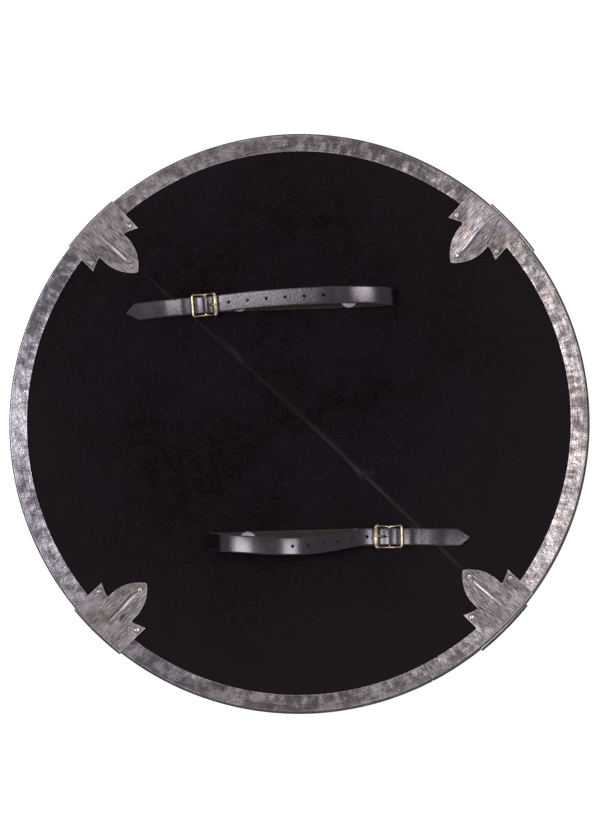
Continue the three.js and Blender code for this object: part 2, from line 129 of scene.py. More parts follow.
LYING = LAYER_ONE / MM
LAID_OVER = LAYER_TWO / MM
WRAPPED_END = 50
WRAP = [
    (74, LYING),
    (66, LYING + 1.1),
    (58, LAID_OVER),
    (18, LAID_OVER),
    (8, LAID_OVER + 1.2),
    (0, WRAP_TOP / MM),
    (-0.87 * WRAP_RADIUS / MM, (BAR_HEIGHT + WRAP_RADIUS / 2) / MM),
    (-0.87 * WRAP_RADIUS / MM, (BAR_HEIGHT - WRAP_RADIUS / 2) / MM),
    (0, LYING),
    (WRAPPED_END, LYING),
]
STRAPS = {
    "arm": {
        "towards": 1,
        "buckle_x": -104.4,
        "plan": (136.8, 0.0251, -0.0000689, 0.00000111),
        "lean": (0.23, 0),
        "rivets": {"near": 38.1, "far": 161.3},
        "roller": (11.4, 16.2),
        "hole_pitch": 22,
        "tail": [(-88, 2.6), (-72, 2.6), (-54, 2.3), (-43, 3), (-35, 5.3), (-26, 7.9)],
        "arch": [
            *((30, 17.5), (60, 25), (88, 30), (118, 33), (142, 34), (155, 33), (167, 31.6)),
            *((182, 28.2), (195, 23.4), (205, 17.2), (211.5, 10.5), (212.5, 6), (206, 2.4)),
            *((192, LYING), (110, LYING)),
        ],
    },
    "hand": {
        "towards": -1,
        "buckle_x": 101.7,
        "plan": (-130.1, 0.026, -0.00008, 0),
        "lean": (-0.443, 0.00137),
        "rivets": {"near": 36.4, "far": 158},
        "roller": (14.2, 12.4),
        "hole_pitch": 19.05,
        "tail": [(-88, 2.6), (-72, 2.4), (-58, 2.5), (-47, 3.9), (-36, 6.2), (-25, 8.1)],
        "arch": [
            *((23, 9.6), (34, 14.5), (48, 24), (60, 33.2), (80, 47.2), (95, 54.8), (108, 58.8)),
            *((120, 60.9), (134, 61.6), (150, 60.7), (161, 58.8), (172, 55.4), (181, 51)),
            *((189, 43.5), (195, 31), (198.5, 16), (195.5, 4.8), (184, LYING), (105, LYING)),
        ],
    },
}


# Small helpers


def blend(low, high, value):
    """0 below low, 1 above high, and a smooth rise between them."""
    share = min(1.0, max(0.0, (value - low) / (high - low)))
    return share * share * (3 - 2 * share)


def wander(x, y, size, seed):
    """A smooth random value from about -1 to 1 that changes over the given size."""
    return noise.noise(Vector((x / size, y / size, seed)))


def on_sphere(radius, angle):
    """Radius and height of a point of a dished layer."""
    return radius * math.sin(angle), CENTRE_HEIGHT - radius * math.cos(angle)


def lining_height(x, y):
    """Height of the back of the lining over a place."""
    return CENTRE_HEIGHT - math.sqrt(LINING_BACK**2 - x * x - y * y)


def frame_at(place, x_axis, y_axis, z_axis):
    """The frame with the given axes at a place."""
    matrix = Matrix((x_axis, y_axis, z_axis)).transposed().to_4x4()
    matrix.translation = place
    return matrix


def clip_azimuth(clip, is_back):
    """Where a plate sits. The right front plates are a little further round than the back ones."""
    return clip["azimuth"] + (0 if is_back else clip["front_shift"])


def clip_frame(clip, is_back):
    """The place of a plate: x along the edge, y inwards over the back, z out of the back."""
    turn = math.radians(clip_azimuth(clip, is_back))
    around = Vector((math.cos(turn), math.sin(turn), 0))
    along = Vector((-math.sin(turn), math.cos(turn), 0))
    upward = -math.sin(EDGE_ANGLE) * around + math.cos(EDGE_ANGLE) * Vector((0, 0, 1))
    radius, height = on_sphere(SKIN_RADIUS, EDGE_ANGLE)
    place = around * radius + Vector((0, 0, height))
    twist = math.radians(clip["twist"] if is_back else 0)
    return frame_at(place, along, upward.cross(along), upward) @ Matrix.Rotation(twist, 4, "Z")


def everything_in(bm):
    return bm.verts[:] + bm.edges[:] + bm.faces[:]


def face_outwards(bm):
    bmesh.ops.recalc_face_normals(bm, faces=bm.faces[:])


def slice_across(bm, direction, places):
    """Cuts everything in bm by planes square to a direction, at the given distances."""
    for place in places:
        plane = {"plane_co": direction * place, "plane_no": direction}
        bmesh.ops.bisect_plane(bm, geom=everything_in(bm), **plane)


def steps(low, high, pitch):
    """Evenly spaced values from low to high, both included."""
    count = max(1, round((high - low) / pitch))
    return [low + (high - low) * i / count for i in range(count + 1)]


def lay_flat_map(bm):
    """Writes the x and y of every corner to the UV map that the finishes follow."""
    layer = bm.loops.layers.uv.new("flat")
    for face in bm.faces:
        for loop in face.loops:
            loop[layer].uv = loop.vert.co.xy


def mesh_from(bm, name):
    """The mesh of a bmesh, which is freed."""
    mesh = bpy.data.meshes.new(name)
    bm.to_mesh(mesh)
    bm.free()
    return mesh


def add_object(name, data):
    """A new object in the scene."""
    made = bpy.data.objects.new(name, data)
    bpy.context.scene.collection.objects.link(made)
    return made


def add_piece(bm, name, finishes, nodes, sharp_angle=35):
    """Makes a piece of a bmesh: it rides on the shield and stands for its CAD nodes."""
    for face in bm.faces:
        face.smooth = True
    mesh = mesh_from(bm, name)
    mesh.set_sharp_from_angle(angle=math.radians(sharp_angle))
    for finish in finishes:
        mesh.materials.append(finish)
    piece = add_object(name, mesh)
    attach(piece, "root")
    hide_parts(*nodes)


# Node helpers and shared effects


def set_inputs(tree, node, inputs):
    """Sets the inputs of a node, each to a value or to a socket."""
    for key, value in inputs.items():
        if isinstance(value, bpy.types.NodeSocket):
            tree.links.new(value, node.inputs[key])
        else:
            node.inputs[key].default_value = value


def add_node(tree, kind, inputs=(), **settings):
    """Adds a shader node, with its settings, and its inputs as values or as sockets."""
    node = tree.nodes.new("ShaderNode" + kind)
    for key, value in settings.items():
        setattr(node, key, value)
    set_inputs(tree, node, dict(inputs))
    return node


def mix_colors(tree, share, *colors):
    """A mix of two colours by a share. Each of the three is a value or a socket."""
    given = [c if isinstance(c, bpy.types.NodeSocket) else (*c, 1) for c in colors]
    inputs = {0: share, 6: given[0], 7: given[1]}
    return add_node(tree, "Mix", inputs, data_type="RGBA").outputs[2]


def calculate(tree, operation, first, second=0.0):
    return add_node(tree, "Math", {0: first, 1: second}, operation=operation).outputs[0]


def tint(tree, under, mask, weight, color):
    """Lays a colour over another by a mask and a weight."""
    return mix_colors(tree, calculate(tree, "MULTIPLY", mask, weight), under, color)


def stretch(tree, value, low, high, new_low, new_high):
    """Maps a value from one range to another, clamped."""
    inputs = {"Value": value, 1: low, 2: high, 3: new_low, 4: new_high}
    return add_node(tree, "MapRange", inputs).outputs[0]


def effect_group(name, inputs, outputs):
    """An empty shader node group with float inputs and a vector, and the named outputs."""
    group = bpy.data.node_groups.new(name, "ShaderNodeTree")
    add_socket = group.interface.new_socket
    add_socket("Vector", in_out="INPUT", socket_type="NodeSocketVector")
    for key, value in inputs.items():
        socket = add_socket(key, in_out="INPUT", socket_type="NodeSocketFloat")
        socket.default_value = value
    for key in outputs:
        add_socket(key, in_out="OUTPUT", socket_type="NodeSocketFloat")
    start = group.nodes.new("NodeGroupInput")
    end = group.nodes.new("NodeGroupOutput")
    return group, start.outputs, end.inputs


def noise_texture(tree, vector, scale, detail, **others):
    inputs = {"Vector": vector, "Scale": scale, "Detail": detail, **others}
    return add_node(tree, "TexNoise", inputs).outputs[0]


def blotches_group():
    """Soft cloudy patches of stain, dust or polish."""
    inputs = {"Scale": 10.0, "Detail": 4.0, "Low": 0.4, "High": 0.6}
    group, given, result = effect_group("blotches", inputs, ["Mask"])
    cloud = noise_texture(group, given["Vector"], given["Scale"], given["Detail"])
    ranged = {"Value": cloud, 1: given["Low"], 2: given["High"]}
    mask = add_node(group, "MapRange", ranged, interpolation_type="SMOOTHSTEP")
    group.links.new(mask.outputs[0], result["Mask"])
    return group


def scratches_group():
    """Fine lines along the second axis of the vector, as a brush or an abrasive leaves."""
    inputs = {"Fineness": 900.0, "Length": 0.02, "Low": 0.5, "High": 0.7}
    group, given, result = effect_group("scratches", inputs, ["Mask", "Height"])
    parts = add_node(group, "SeparateXYZ", {0: given["Vector"]}).outputs
    slow = calculate(group, "MULTIPLY", parts["Y"], given["Length"])
    squeezed = add_node(group, "CombineXYZ", {"X": parts["X"], "Y": slow, "Z": parts["Z"]})
    lines = noise_texture(group, squeezed.outputs[0], given["Fineness"], 3.0)
    mask = add_node(group, "MapRange", {"Value": lines, 1: given["Low"], 2: given["High"]})
    group.links.new(mask.outputs[0], result["Mask"])
    group.links.new(lines, result["Height"])
    return group


BLOTCHES = blotches_group()
SCRATCHES = scratches_group()


def blotches(tree, vector, scale, low, high, detail=4.0):
    inputs = {"Vector": vector, "Scale": scale, "Detail": detail, "Low": low, "High": high}
    return add_node(tree, "Group", inputs, node_tree=BLOTCHES).outputs["Mask"]


def scratches(tree, vector, fineness, length, low, high):
    inputs = {"Vector": vector, "Fineness": fineness, "Length": length, "Low": low, "High": high}
    return add_node(tree, "Group", inputs, node_tree=SCRATCHES).outputs


def start_finish(name):
    """A new material: its tree, its Principled shader, and its object coordinates."""
    material = bpy.data.materials.new(name)
    material.use_nodes = True
    tree = material.node_tree
    shader = next(n for n in tree.nodes if n.type == "BSDF_PRINCIPLED")
    places = add_node(tree, "TexCoord").outputs["Object"]
    return material, tree, shader, places


def set_surface(tree, shader, color, roughness, metallic=0.0):
    inputs = {"Base Color": color, "Roughness": roughness, "Metallic": metallic}
    set_inputs(tree, shader, inputs)


def bump(tree, shader, height, strength, distance, under=None):
    """Bump on a shader, over another bump where one is given."""
    inputs = {"Strength": strength, "Distance": distance, "Height": height}
    if under is not None:
        inputs["Normal"] = under
    normal = add_node(tree, "Bump", inputs).outputs[0]
    tree.links.new(normal, shader.inputs["Normal"])
    return normal


def attribute(tree, name):
    return add_node(tree, "Attribute", attribute_name=name).outputs["Fac"]


def flat_map(tree):
    return add_node(tree, "UVMap", uv_map="flat").outputs[0]


# Finishes


def suede_finish():
    """Black suede: cloudy nap, pale fold lines, rubbed places, and painted light that makes it paler
    towards the rim.
    """
    material, tree, shader, places = start_finish("black suede")
    cloud = blotches(tree, places, 9.0, 0.3, 0.72)
    patch = blotches(tree, places, 60.0, 0.3, 0.7)
    nap = blotches(tree, places, 420.0, 0.36, 0.68, 3.0)
    base = mix_colors(tree, cloud, (0.0036, 0.0022, 0.0036), (0.0134, 0.0093, 0.0132))
    patched = tint(tree, base, patch, 0.5, (0.016, 0.0118, 0.0156))
    napped = tint(tree, patched, nap, 0.5, (0.027, 0.020, 0.0265))
    # Painted light: the suede is made paler towards the rim.
    painted_rim_light = mix_colors(tree, attribute(tree, "painted_rim_light"), napped, (0.024, 0.0182, 0.022))
    rubbed = mix_colors(tree, attribute(tree, "rubbed"), painted_rim_light, (0.13, 0.125, 0.14))
    set_surface(tree, shader, rubbed, 0.92)
    shader.inputs["Specular IOR Level"].default_value = 0.04
    bump(tree, shader, noise_texture(tree, places, 700.0, 4.0), 0.5, 0.0004)
    return material


def across_map(tree, flat):
    """The flat map with its two axes exchanged, so that lines run the other way."""
    parts = add_node(tree, "SeparateXYZ", {0: flat}).outputs
    return add_node(tree, "CombineXYZ", {"X": parts["Y"], "Y": parts["X"]}).outputs[0]


def weigh(tree, *shares):
    """A sum of masks, each with its weight."""
    total = 0.0
    for mask, weight in shares:
        part = add_node(tree, "Math", {0: mask, 1: weight, 2: total}, operation="MULTIPLY_ADD")
        total = part.outputs[0]
    return total


def rim_finish():
    """Hammered steel: mottled, streaked along the rim, with painted light and shade on its puckers."""
    material, tree, shader, places = start_finish("rim steel")
    flat = flat_map(tree)
    mottle = blotches(tree, places, 85.0, 0.32, 0.68, 6.0)
    specks = blotches(tree, places, 1000.0, 0.34, 0.66, 2.0)
    lines = scratches(tree, flat, 900.0, 0.03, 0.34, 0.66)
    # Painted light and shade of the puckers: short radial pale and dark marks on the inner part of the
    # flange.
    marks = scratches(tree, across_map(tree, flat), 160.0, 0.35, 0.36, 0.64)
    swing = calculate(tree, "SUBTRACT", marks["Mask"], 0.5)
    painted_pucker_shading = calculate(tree, "MULTIPLY", swing, attribute(tree, "inner"))
    weights = ((mottle, 0.42), (specks, 0.3), (lines["Mask"], 0.3), (painted_pucker_shading, 0.42))
    # The paleness is partly patina and partly painted reflection of the lamps, set by azimuth.
    mixed = weigh(tree, *weights, (attribute(tree, "paleness_and_painted_light"), 1.0))
    share = stretch(tree, mixed, 0.16, 0.86, 0, 1)
    warmth = attribute(tree, "warmth")
    pale = mix_colors(tree, warmth, (0.61, 0.565, 0.64), (0.69, 0.59, 0.535))
    dark = mix_colors(tree, warmth, (0.13, 0.115, 0.138), (0.155, 0.113, 0.1))
    mottled = mix_colors(tree, share, dark, pale)
    edged = mix_colors(tree, attribute(tree, "edge"), mottled, (0.75, 0.72, 0.70))
    set_surface(tree, shader, edged, stretch(tree, share, 0, 1, 0.42, 0.3), 1.0)
    low = bump(tree, shader, lines["Height"], 0.2, 0.0003)
    bump(tree, shader, noise_texture(tree, places, 260.0, 4.0), 0.5, 0.0008, low)
    return material


def clip_finish():
    """Dark steel, brushed along the leaf in short broken lines, stained in patches, with a painted
    highlight along the vein and painted shade beside it.
    """
    material, tree, shader, places = start_finish("clip steel")
    lines = scratches(tree, flat_map(tree), 1300.0, 0.07, 0.38, 0.62)
    specks = blotches(tree, places, 1500.0, 0.34, 0.66, 2.0)
    stain = blotches(tree, places, 62.0, 0.36, 0.66, 6.0)
    browning = blotches(tree, places, 34.0, 0.45, 0.66, 5.0)
    mixed = weigh(tree, (lines["Mask"], 0.5), (specks, 0.25), (stain, 0.25))
    share = stretch(tree, mixed, 0.15, 0.95, 0, 1)
    warmth = calculate(tree, "MULTIPLY", browning, attribute(tree, "browning"))
    pale = mix_colors(tree, warmth, (0.68, 0.6, 0.645), (0.5, 0.385, 0.32))
    dark = mix_colors(tree, warmth, (0.065, 0.053, 0.061), (0.085, 0.056, 0.042))
    color = mix_colors(tree, share, dark, pale)
    # Painted highlight along the vein, painted shade on one side of it, and bare steel at the edges.
    wear_and_painted_light = {"painted_rib_shade": (0.07, 0.06, 0.065), "ridge": (0.82, 0.78, 0.80), "edge": (0.75, 0.72, 0.70)}
    for name, tone in wear_and_painted_light.items():
        color = mix_colors(tree, attribute(tree, name), color, tone)
    set_surface(tree, shader, color, stretch(tree, share, 0.1, 0.9, 0.48, 0.34), 1.0)
    low = bump(tree, shader, lines["Height"], 0.25, 0.0003)
    bump(tree, shader, noise_texture(tree, places, 220.0, 3.0), 0.35, 0.0006, low)
    return material


def nail_finish():
    """Peened nail heads, bright with darker pits."""
    material, tree, shader, places = start_finish("nail steel")
    pits = blotches(tree, places, 420.0, 0.35, 0.7)
    color = mix_colors(tree, pits, (0.78, 0.75, 0.74), (0.34, 0.30, 0.30))
    set_surface(tree, shader, color, stretch(tree, pits, 0, 1, 0.22, 0.45), 1.0)
    bump(tree, shader, noise_texture(tree, places, 600.0, 2.0), 0.5, 0.0006)
    return material


def strap_finish():
    """Black strap leather, smooth and waxed, pebbled where it has been bent."""
    material, tree, shader, places = start_finish("black strap leather")
    flat = flat_map(tree)
    scuff = blotches(tree, places, 60.0, 0.45, 0.75, 5.0)
    color = mix_colors(tree, scuff, (0.009, 0.007, 0.009), (0.018, 0.015, 0.018))
    creased = attribute(tree, "creased")
    rough = stretch(tree, creased, 0, 1, 0.22, 0.3)
    scuffed = calculate(tree, "ADD", rough, calculate(tree, "MULTIPLY", scuff, 0.05))
    set_surface(tree, shader, color, scuffed)
    wax = {"Specular IOR Level": 1.0, "Specular Tint": (0.98, 0.88, 1, 1), "IOR": 1.62}
    set_inputs(tree, shader, wax)
    pores = add_node(tree, "TexVoronoi", {"Vector": flat, "Scale": 1500.0})
    fine = bump(tree, shader, pores.outputs["Distance"], 0.08, 0.0002)
    folds = noise_texture(tree, flat, 320.0, 3.0, Distortion=1.5)
    bump(tree, shader, calculate(tree, "MULTIPLY", folds, creased), 0.4, 0.0007, fine)
    return material


def raw_leather_finish(name, dark, pale):
    """The flesh side or the cut edge of the leather: brown and fibrous."""
    material, tree, shader, places = start_finish(name)
    fibres = blotches(tree, places, 300.0, 0.3, 0.7, 5.0)
    set_surface(tree, shader, mix_colors(tree, fibres, dark, pale), 0.75)
    bump(tree, shader, noise_texture(tree, places, 900.0, 4.0), 0.5, 0.0004)
    return material


def brass_finish():
    """Pale antique brass, darker where it has not been rubbed."""
    material, tree, shader, places = start_finish("pale brass")
    tarnish = blotches(tree, places, 150.0, 0.4, 0.75, 5.0)
    color = mix_colors(tree, tarnish, (0.82, 0.68, 0.50), (0.58, 0.45, 0.30))
    set_surface(tree, shader, color, stretch(tree, tarnish, 0, 1, 0.3, 0.42), 1.0)
    bump(tree, shader, noise_texture(tree, places, 700.0, 3.0), 0.1, 0.0003)
    return material


def nickel_finish():
    """Bright nickel, lightly scratched."""
    material, tree, shader, places = start_finish("bright nickel")
    marks = scratches(tree, places, 500.0, 0.2, 0.5, 0.75)
    color = mix_colors(tree, marks["Mask"], (0.86, 0.84, 0.86), (0.62, 0.6, 0.62))
    set_surface(tree, shader, color, stretch(tree, marks["Mask"], 0, 1, 0.25, 0.4), 1.0)
    bump(tree, shader, marks["Height"], 0.15, 0.0003)
    return material


def wood_finish():
    """Oiled planks: long grain, rings that differ from plank to plank, and dark joints."""
    material, tree, shader, places = start_finish("oiled planks")
    parts = add_node(tree, "SeparateXYZ", {0: places}).outputs
    plank = calculate(tree, "FLOOR", calculate(tree, "DIVIDE", parts["X"], PLANK))
    shift = calculate(tree, "MULTIPLY", plank, 0.73)
    slow = calculate(tree, "MULTIPLY", parts["Y"], 0.09)
    along = calculate(tree, "ADD", slow, shift)
    through = calculate(tree, "ADD", parts["Z"], shift)
    bent = add_node(tree, "CombineXYZ", {"X": parts["X"], "Y": along, "Z": through})
    waves = {"Vector": bent.outputs[0], "Scale": 42.0, "Distortion": 7.0, "Detail": 3.0}
    rings = add_node(tree, "TexWave", waves, wave_type="BANDS").outputs[1]
    pores = scratches(tree, places, 700.0, 0.03, 0.45, 0.75)
    tone = add_node(tree, "TexWhiteNoise", {"W": plank}, noise_dimensions="1D")
    early = mix_colors(tree, tone.outputs[0], (0.17, 0.085, 0.036), (0.27, 0.145, 0.062))
    ringed = tint(tree, early, rings, 0.6, (0.085, 0.04, 0.018))
    grained = tint(tree, ringed, pores["Mask"], 0.4, (0.05, 0.024, 0.012))
    jointed = mix_colors(tree, attribute(tree, "joint"), grained, (0.015, 0.009, 0.006))
    set_surface(tree, shader, jointed, 0.5)
    shader.inputs["Coat Weight"].default_value = 0.15
    low = bump(tree, shader, pores["Height"], 0.2, 0.0004)
    bump(tree, shader, rings, 0.15, 0.0004, low)
    return material


# The board and its lining

PLANK = 92 * MM
PLANK_JOINTS = [PLANK * k for k in range(-3, 4)]
GROOVE = 0.8 * MM


def float_layer(bm, name):
    return bm.verts.layers.float.new(name)


def turned(outline, turn_steps):
    """Spins an outline of (radius, height) that starts and ends on the axis."""
    bm = bmesh.new()
    verts = [bm.verts.new((r, 0, z)) for r, z in outline]
    edges = [bm.edges.new(pair) for pair in zip(verts, verts[1:])]
    bmesh.ops.spin(
        bm,
        geom=verts + edges,
        cent=(0, 0, 0),
        axis=(0, 0, 1),
        angle=math.tau,
        steps=turn_steps,
        use_merge=True,
    )
    bmesh.ops.remove_doubles(bm, verts=bm.verts[:], dist=0.01 * MM)
    face_outwards(bm)
    return bm


def layer_rings(radius, edge_angle):
    """Points of a dished layer from near the axis to the edge, every 8 mm or so."""
    return [on_sphere(radius, a) for a in steps(REST_RADIUS / radius, edge_angle, 0.008)]


def build_board(wood):
    """The board: dished planks with a groove at each joint of the front."""
    front = [(0, 0), *layer_rings(DISH_RADIUS, BOARD_EDGE)]
    back = [(0, CENTRE_HEIGHT - BOARD_BACK), *layer_rings(BOARD_BACK, BOARD_EDGE)]
    bm = turned(front + back[::-1], 160)
    places = [x + side * GROOVE for x in PLANK_JOINTS for side in (-1, 0, 1)]
    slice_across(bm, Vector((1, 0, 0)), places)
    joint = float_layer(bm, "joint")
    for vert in bm.verts:
        away = min(abs(vert.co.x - x) for x in PLANK_JOINTS)
        vert[joint] = 1 - blend(0, GROOVE, away)
        deep = vert.co.z < CENTRE_HEIGHT - (DISH_RADIUS - BOARD / 2)
        if away < GROOVE / 8 and (deep or vert.co.z < BOARD / 2):
            vert.co.z += GROOVE
    add_piece(bm, "plank_board", [wood], ["board"], sharp_angle=28)


# Folds and scuffs of the lining: a start, an end and a bow to one side, in mm, and a strength.
FOLDS = [
    ((-176, 170), (186, -167), 3.2, 1.0),
    ((-276, -34), (-196, 50), 0.5, 0.35),
]
SCUFFS = [
    ((52, -40), (72, -66), 1.6, 0.5),
    ((60, -52), (84, -58), 1.2, 0.35),
    ((-92, 100), (-60, 62), 2.2, 0.3),
    ((118, -112), (150, -132), 1.4, 0.3),
    ((132, -118), (138, -146), 1.2, 0.22),
    ((-210, 150), (-150, 196), 1.5, 0.18),
    ((-226, 120), (-206, 156), 1.2, 0.15),
]


def near_line(x, y, start, end, bow):
    """How far a point is from a bowed line, signed, and how far along the line it is."""
    start, end = Vector(start) * MM, Vector(end) * MM
    way = (end - start).normalized()
    from_start = Vector((x, y)) - start
    share = from_start.dot(way) / (end - start).length
    away = from_start.x * way.y - from_start.y * way.x
    away += bow * MM * 4 * share * (1 - share)
    return away, share


def fold_profile(away):
    """A doubled pressed fold: two low ridges either side of a narrow valley."""
    ridge = 1.05 * MM
    width = 0.55 * MM
    left = math.exp(-(((away - ridge) / width) ** 2))
    right = math.exp(-(((away + ridge) / width) ** 2))
    return left, right


def build_lining(suede):
    """The suede lining: a thin dished skin with pressed folds and rubbed places."""
    bm = bmesh.new()
    radius, _ = on_sphere(LINING_BACK, BOARD_EDGE)
    bmesh.ops.create_circle(bm, cap_ends=True, segments=240, radius=radius)
    (ax, ay), (bx, by), _, _ = FOLDS[0]
    way = Vector((bx - ax, by - ay, 0)).normalized()
    side = Vector((-way.y, way.x, 0))
    middle = side.dot(Vector((ax, ay, 0)) * MM)
    fine = [middle + k * 0.35 * MM for k in range(-22, 15)]
    coarse = [x for x in steps(-radius, radius, 7 * MM)[1:-1] if not fine[0] < x < fine[-1]]
    slice_across(bm, side, sorted(fine + coarse))
    slice_across(bm, way, steps(-radius, radius, 7 * MM)[1:-1])
    rubbed = float_layer(bm, "rubbed")
    painted_rim_light = float_layer(bm, "painted_rim_light")
    for vert in bm.verts:
        x, y = vert.co.xy
        lift = 0.25 * MM * wander(x, y, 70 * MM, 3.1)
        # Painted light: the suede grows paler towards the rim.
        away = math.hypot(x + 40 * MM, y - 60 * MM)
        vert[painted_rim_light] = 0.7 * blend(120 * MM, 380 * MM, away)
        glow = 0.0
        for start, end, bow, strength in FOLDS:
            away, share = near_line(x, y, start, end, bow)
            inside = blend(-0.01, 0.03, share) * (1 - blend(0.97, 1.01, share))
            patchy = 0.5 + 0.5 * wander(share * 0.4, 0, 0.03, 7.7)
            left, right = fold_profile(away)
            lift += 0.22 * MM * strength * inside * (left + 0.7 * right)
            bright = 0.35 + 0.65 * math.exp(-(((share - 0.66) / 0.2) ** 2))
            glow += strength * inside * patchy * bright * (left + 0.6 * right)
        for start, end, bow, strength in SCUFFS:
            away, share = near_line(x, y, start, end, bow)
            if -0.2 < share < 1.2:
                soft = math.exp(-((away / (1.3 * MM)) ** 2)) * blend(-0.1, 0.3, share)
                glow += 0.5 * strength * soft * (1 - blend(0.7, 1.1, share))
        vert[rubbed] = min(1.0, glow)
        lift *= blend(radius + 1 * MM, radius - FLANGE - 4 * MM, math.hypot(x, y))
        vert.co.z = lining_height(x, y) + lift
    face_outwards(bm)
    if sum(face.normal.z for face in bm.faces) < 0:
        bmesh.ops.reverse_faces(bm, faces=bm.faces[:])
    bmesh.ops.solidify(bm, geom=bm.faces[:], thickness=LINING)
    add_piece(bm, "suede_lining", [suede], ["back_lining"])


# The steel channel

WALL_STEP = 0.35 * MM  # the wall lies this far in from the folded edge


def channel_outline():
    """The channel's section: (outwards, up) points from the front flange round to it again."""
    fine = steps(-FLANGE, 0.6 * MM, 1.1 * MM)
    outer = FOLD_RADIUS
    bend = [0.6, 1.2, 1.65, 1.95, 2.15, 2.27, 2.3]
    drop = [0.0, 0.03, 0.12, 0.3, 0.55, 0.85, 1.2]
    corner = [(a * MM, b * MM) for a, b in zip(bend, drop)]
    wall = [(outer - WALL_STEP, 2.0 * MM), (outer - WALL_STEP, GRIP - 2.0 * MM)]
    inner = outer - STEEL - 0.1 * MM
    front = [(a, 0.0) for a in fine[:-1]] + corner
    back = [(a, GRIP - b) for a, b in corner[::-1]] + [(a, GRIP) for a in fine[:-1]][::-1]
    lip = STEEL / 3
    edge_back = [(-FLANGE - lip / 2, GRIP - lip), (-FLANGE - lip / 2, GRIP - 2 * lip)]
    edge_front = [(-FLANGE - lip / 2, 2 * lip), (-FLANGE - lip / 2, lip)]
    rows = steps(-FLANGE, inner, 4.5 * MM)
    inside = [(a, GRIP - STEEL) for a in rows] + [(a, STEEL) for a in rows[::-1]]
    return front + wall + back + edge_back + inside + edge_front


def clip_cover(degrees, is_back):
    """1 where a clip lies over the channel, falling to 0 just beside it."""
    half = math.degrees(CLIP_HALF_WIDTH / OUTER_RADIUS)
    covered = 0.0
    for clip in CLIPS.values():
        away = abs((degrees - clip_azimuth(clip, is_back) + 180) % 360 - 180)
        covered = max(covered, 1 - blend(half + 0.6, half + 3.0, away))
    return covered


def pucker(run, inwards, seed):
    """The dents that bending a straight strip leaves: strong at its inner edge."""
    broad = wander(run, inwards * 0.35, 11 * MM, seed)
    small = wander(run, inwards * 0.8, 5 * MM, seed + 9)
    folded = abs(wander(run, inwards * 0.25, 17 * MM, seed + 4))
    grown = blend(3 * MM, 15 * MM, inwards)
    return grown * (0.38 * broad + 0.5 * folded + 0.1 * small) + 0.04 * small


# The rim's colour by azimuth, in degrees: how pale the steel is, partly patina and partly painted
# reflection of the lamps, and how warm its stain.
PATINA_AND_PAINTED_LIGHT = [
    (-165, -0.14, 0.0),
    (-150, 0.02, 0.1),
    (-120, -0.28, 0.3),
    (-105, -0.16, 0.5),
    (-90, -0.31, 0.75),
    (-75, -0.06, 0.7),
    (-60, -0.11, 0.8),
    (-30, 0.12, 0.9),
    (-15, -0.01, 0.75),
    (0, -0.13, 0.9),
    (15, -0.1, 0.65),
    (30, -0.13, 1.0),
    (60, -0.22, 0.7),
    (75, -0.3, 0.65),
    (90, -0.18, 0.72),
    (105, -0.18, 0.7),
    (120, -0.04, 0.6),
    (150, -0.33, 0.2),
    (165, -0.17, 0.0),
    (180, 0.28, 0.0),
]


def patina_and_painted_light(azimuth):
    """How pale and how warm the rim is at an azimuth; the paleness is partly painted reflection of the
    lamps.
    """
    turn = (azimuth + 180) % 360 - 180
    before = PATINA_AND_PAINTED_LIGHT[-1]
    before = (before[0] - 360, *before[1:])
    for place in (*PATINA_AND_PAINTED_LIGHT, (PATINA_AND_PAINTED_LIGHT[0][0] + 360, *PATINA_AND_PAINTED_LIGHT[0][1:])):
        if turn <= place[0]:
            share = (turn - before[0]) / (place[0] - before[0])
            return tuple(a + share * (b - a) for a, b in zip(before[1:], place[1:]))
        before = place
    return before[1:]


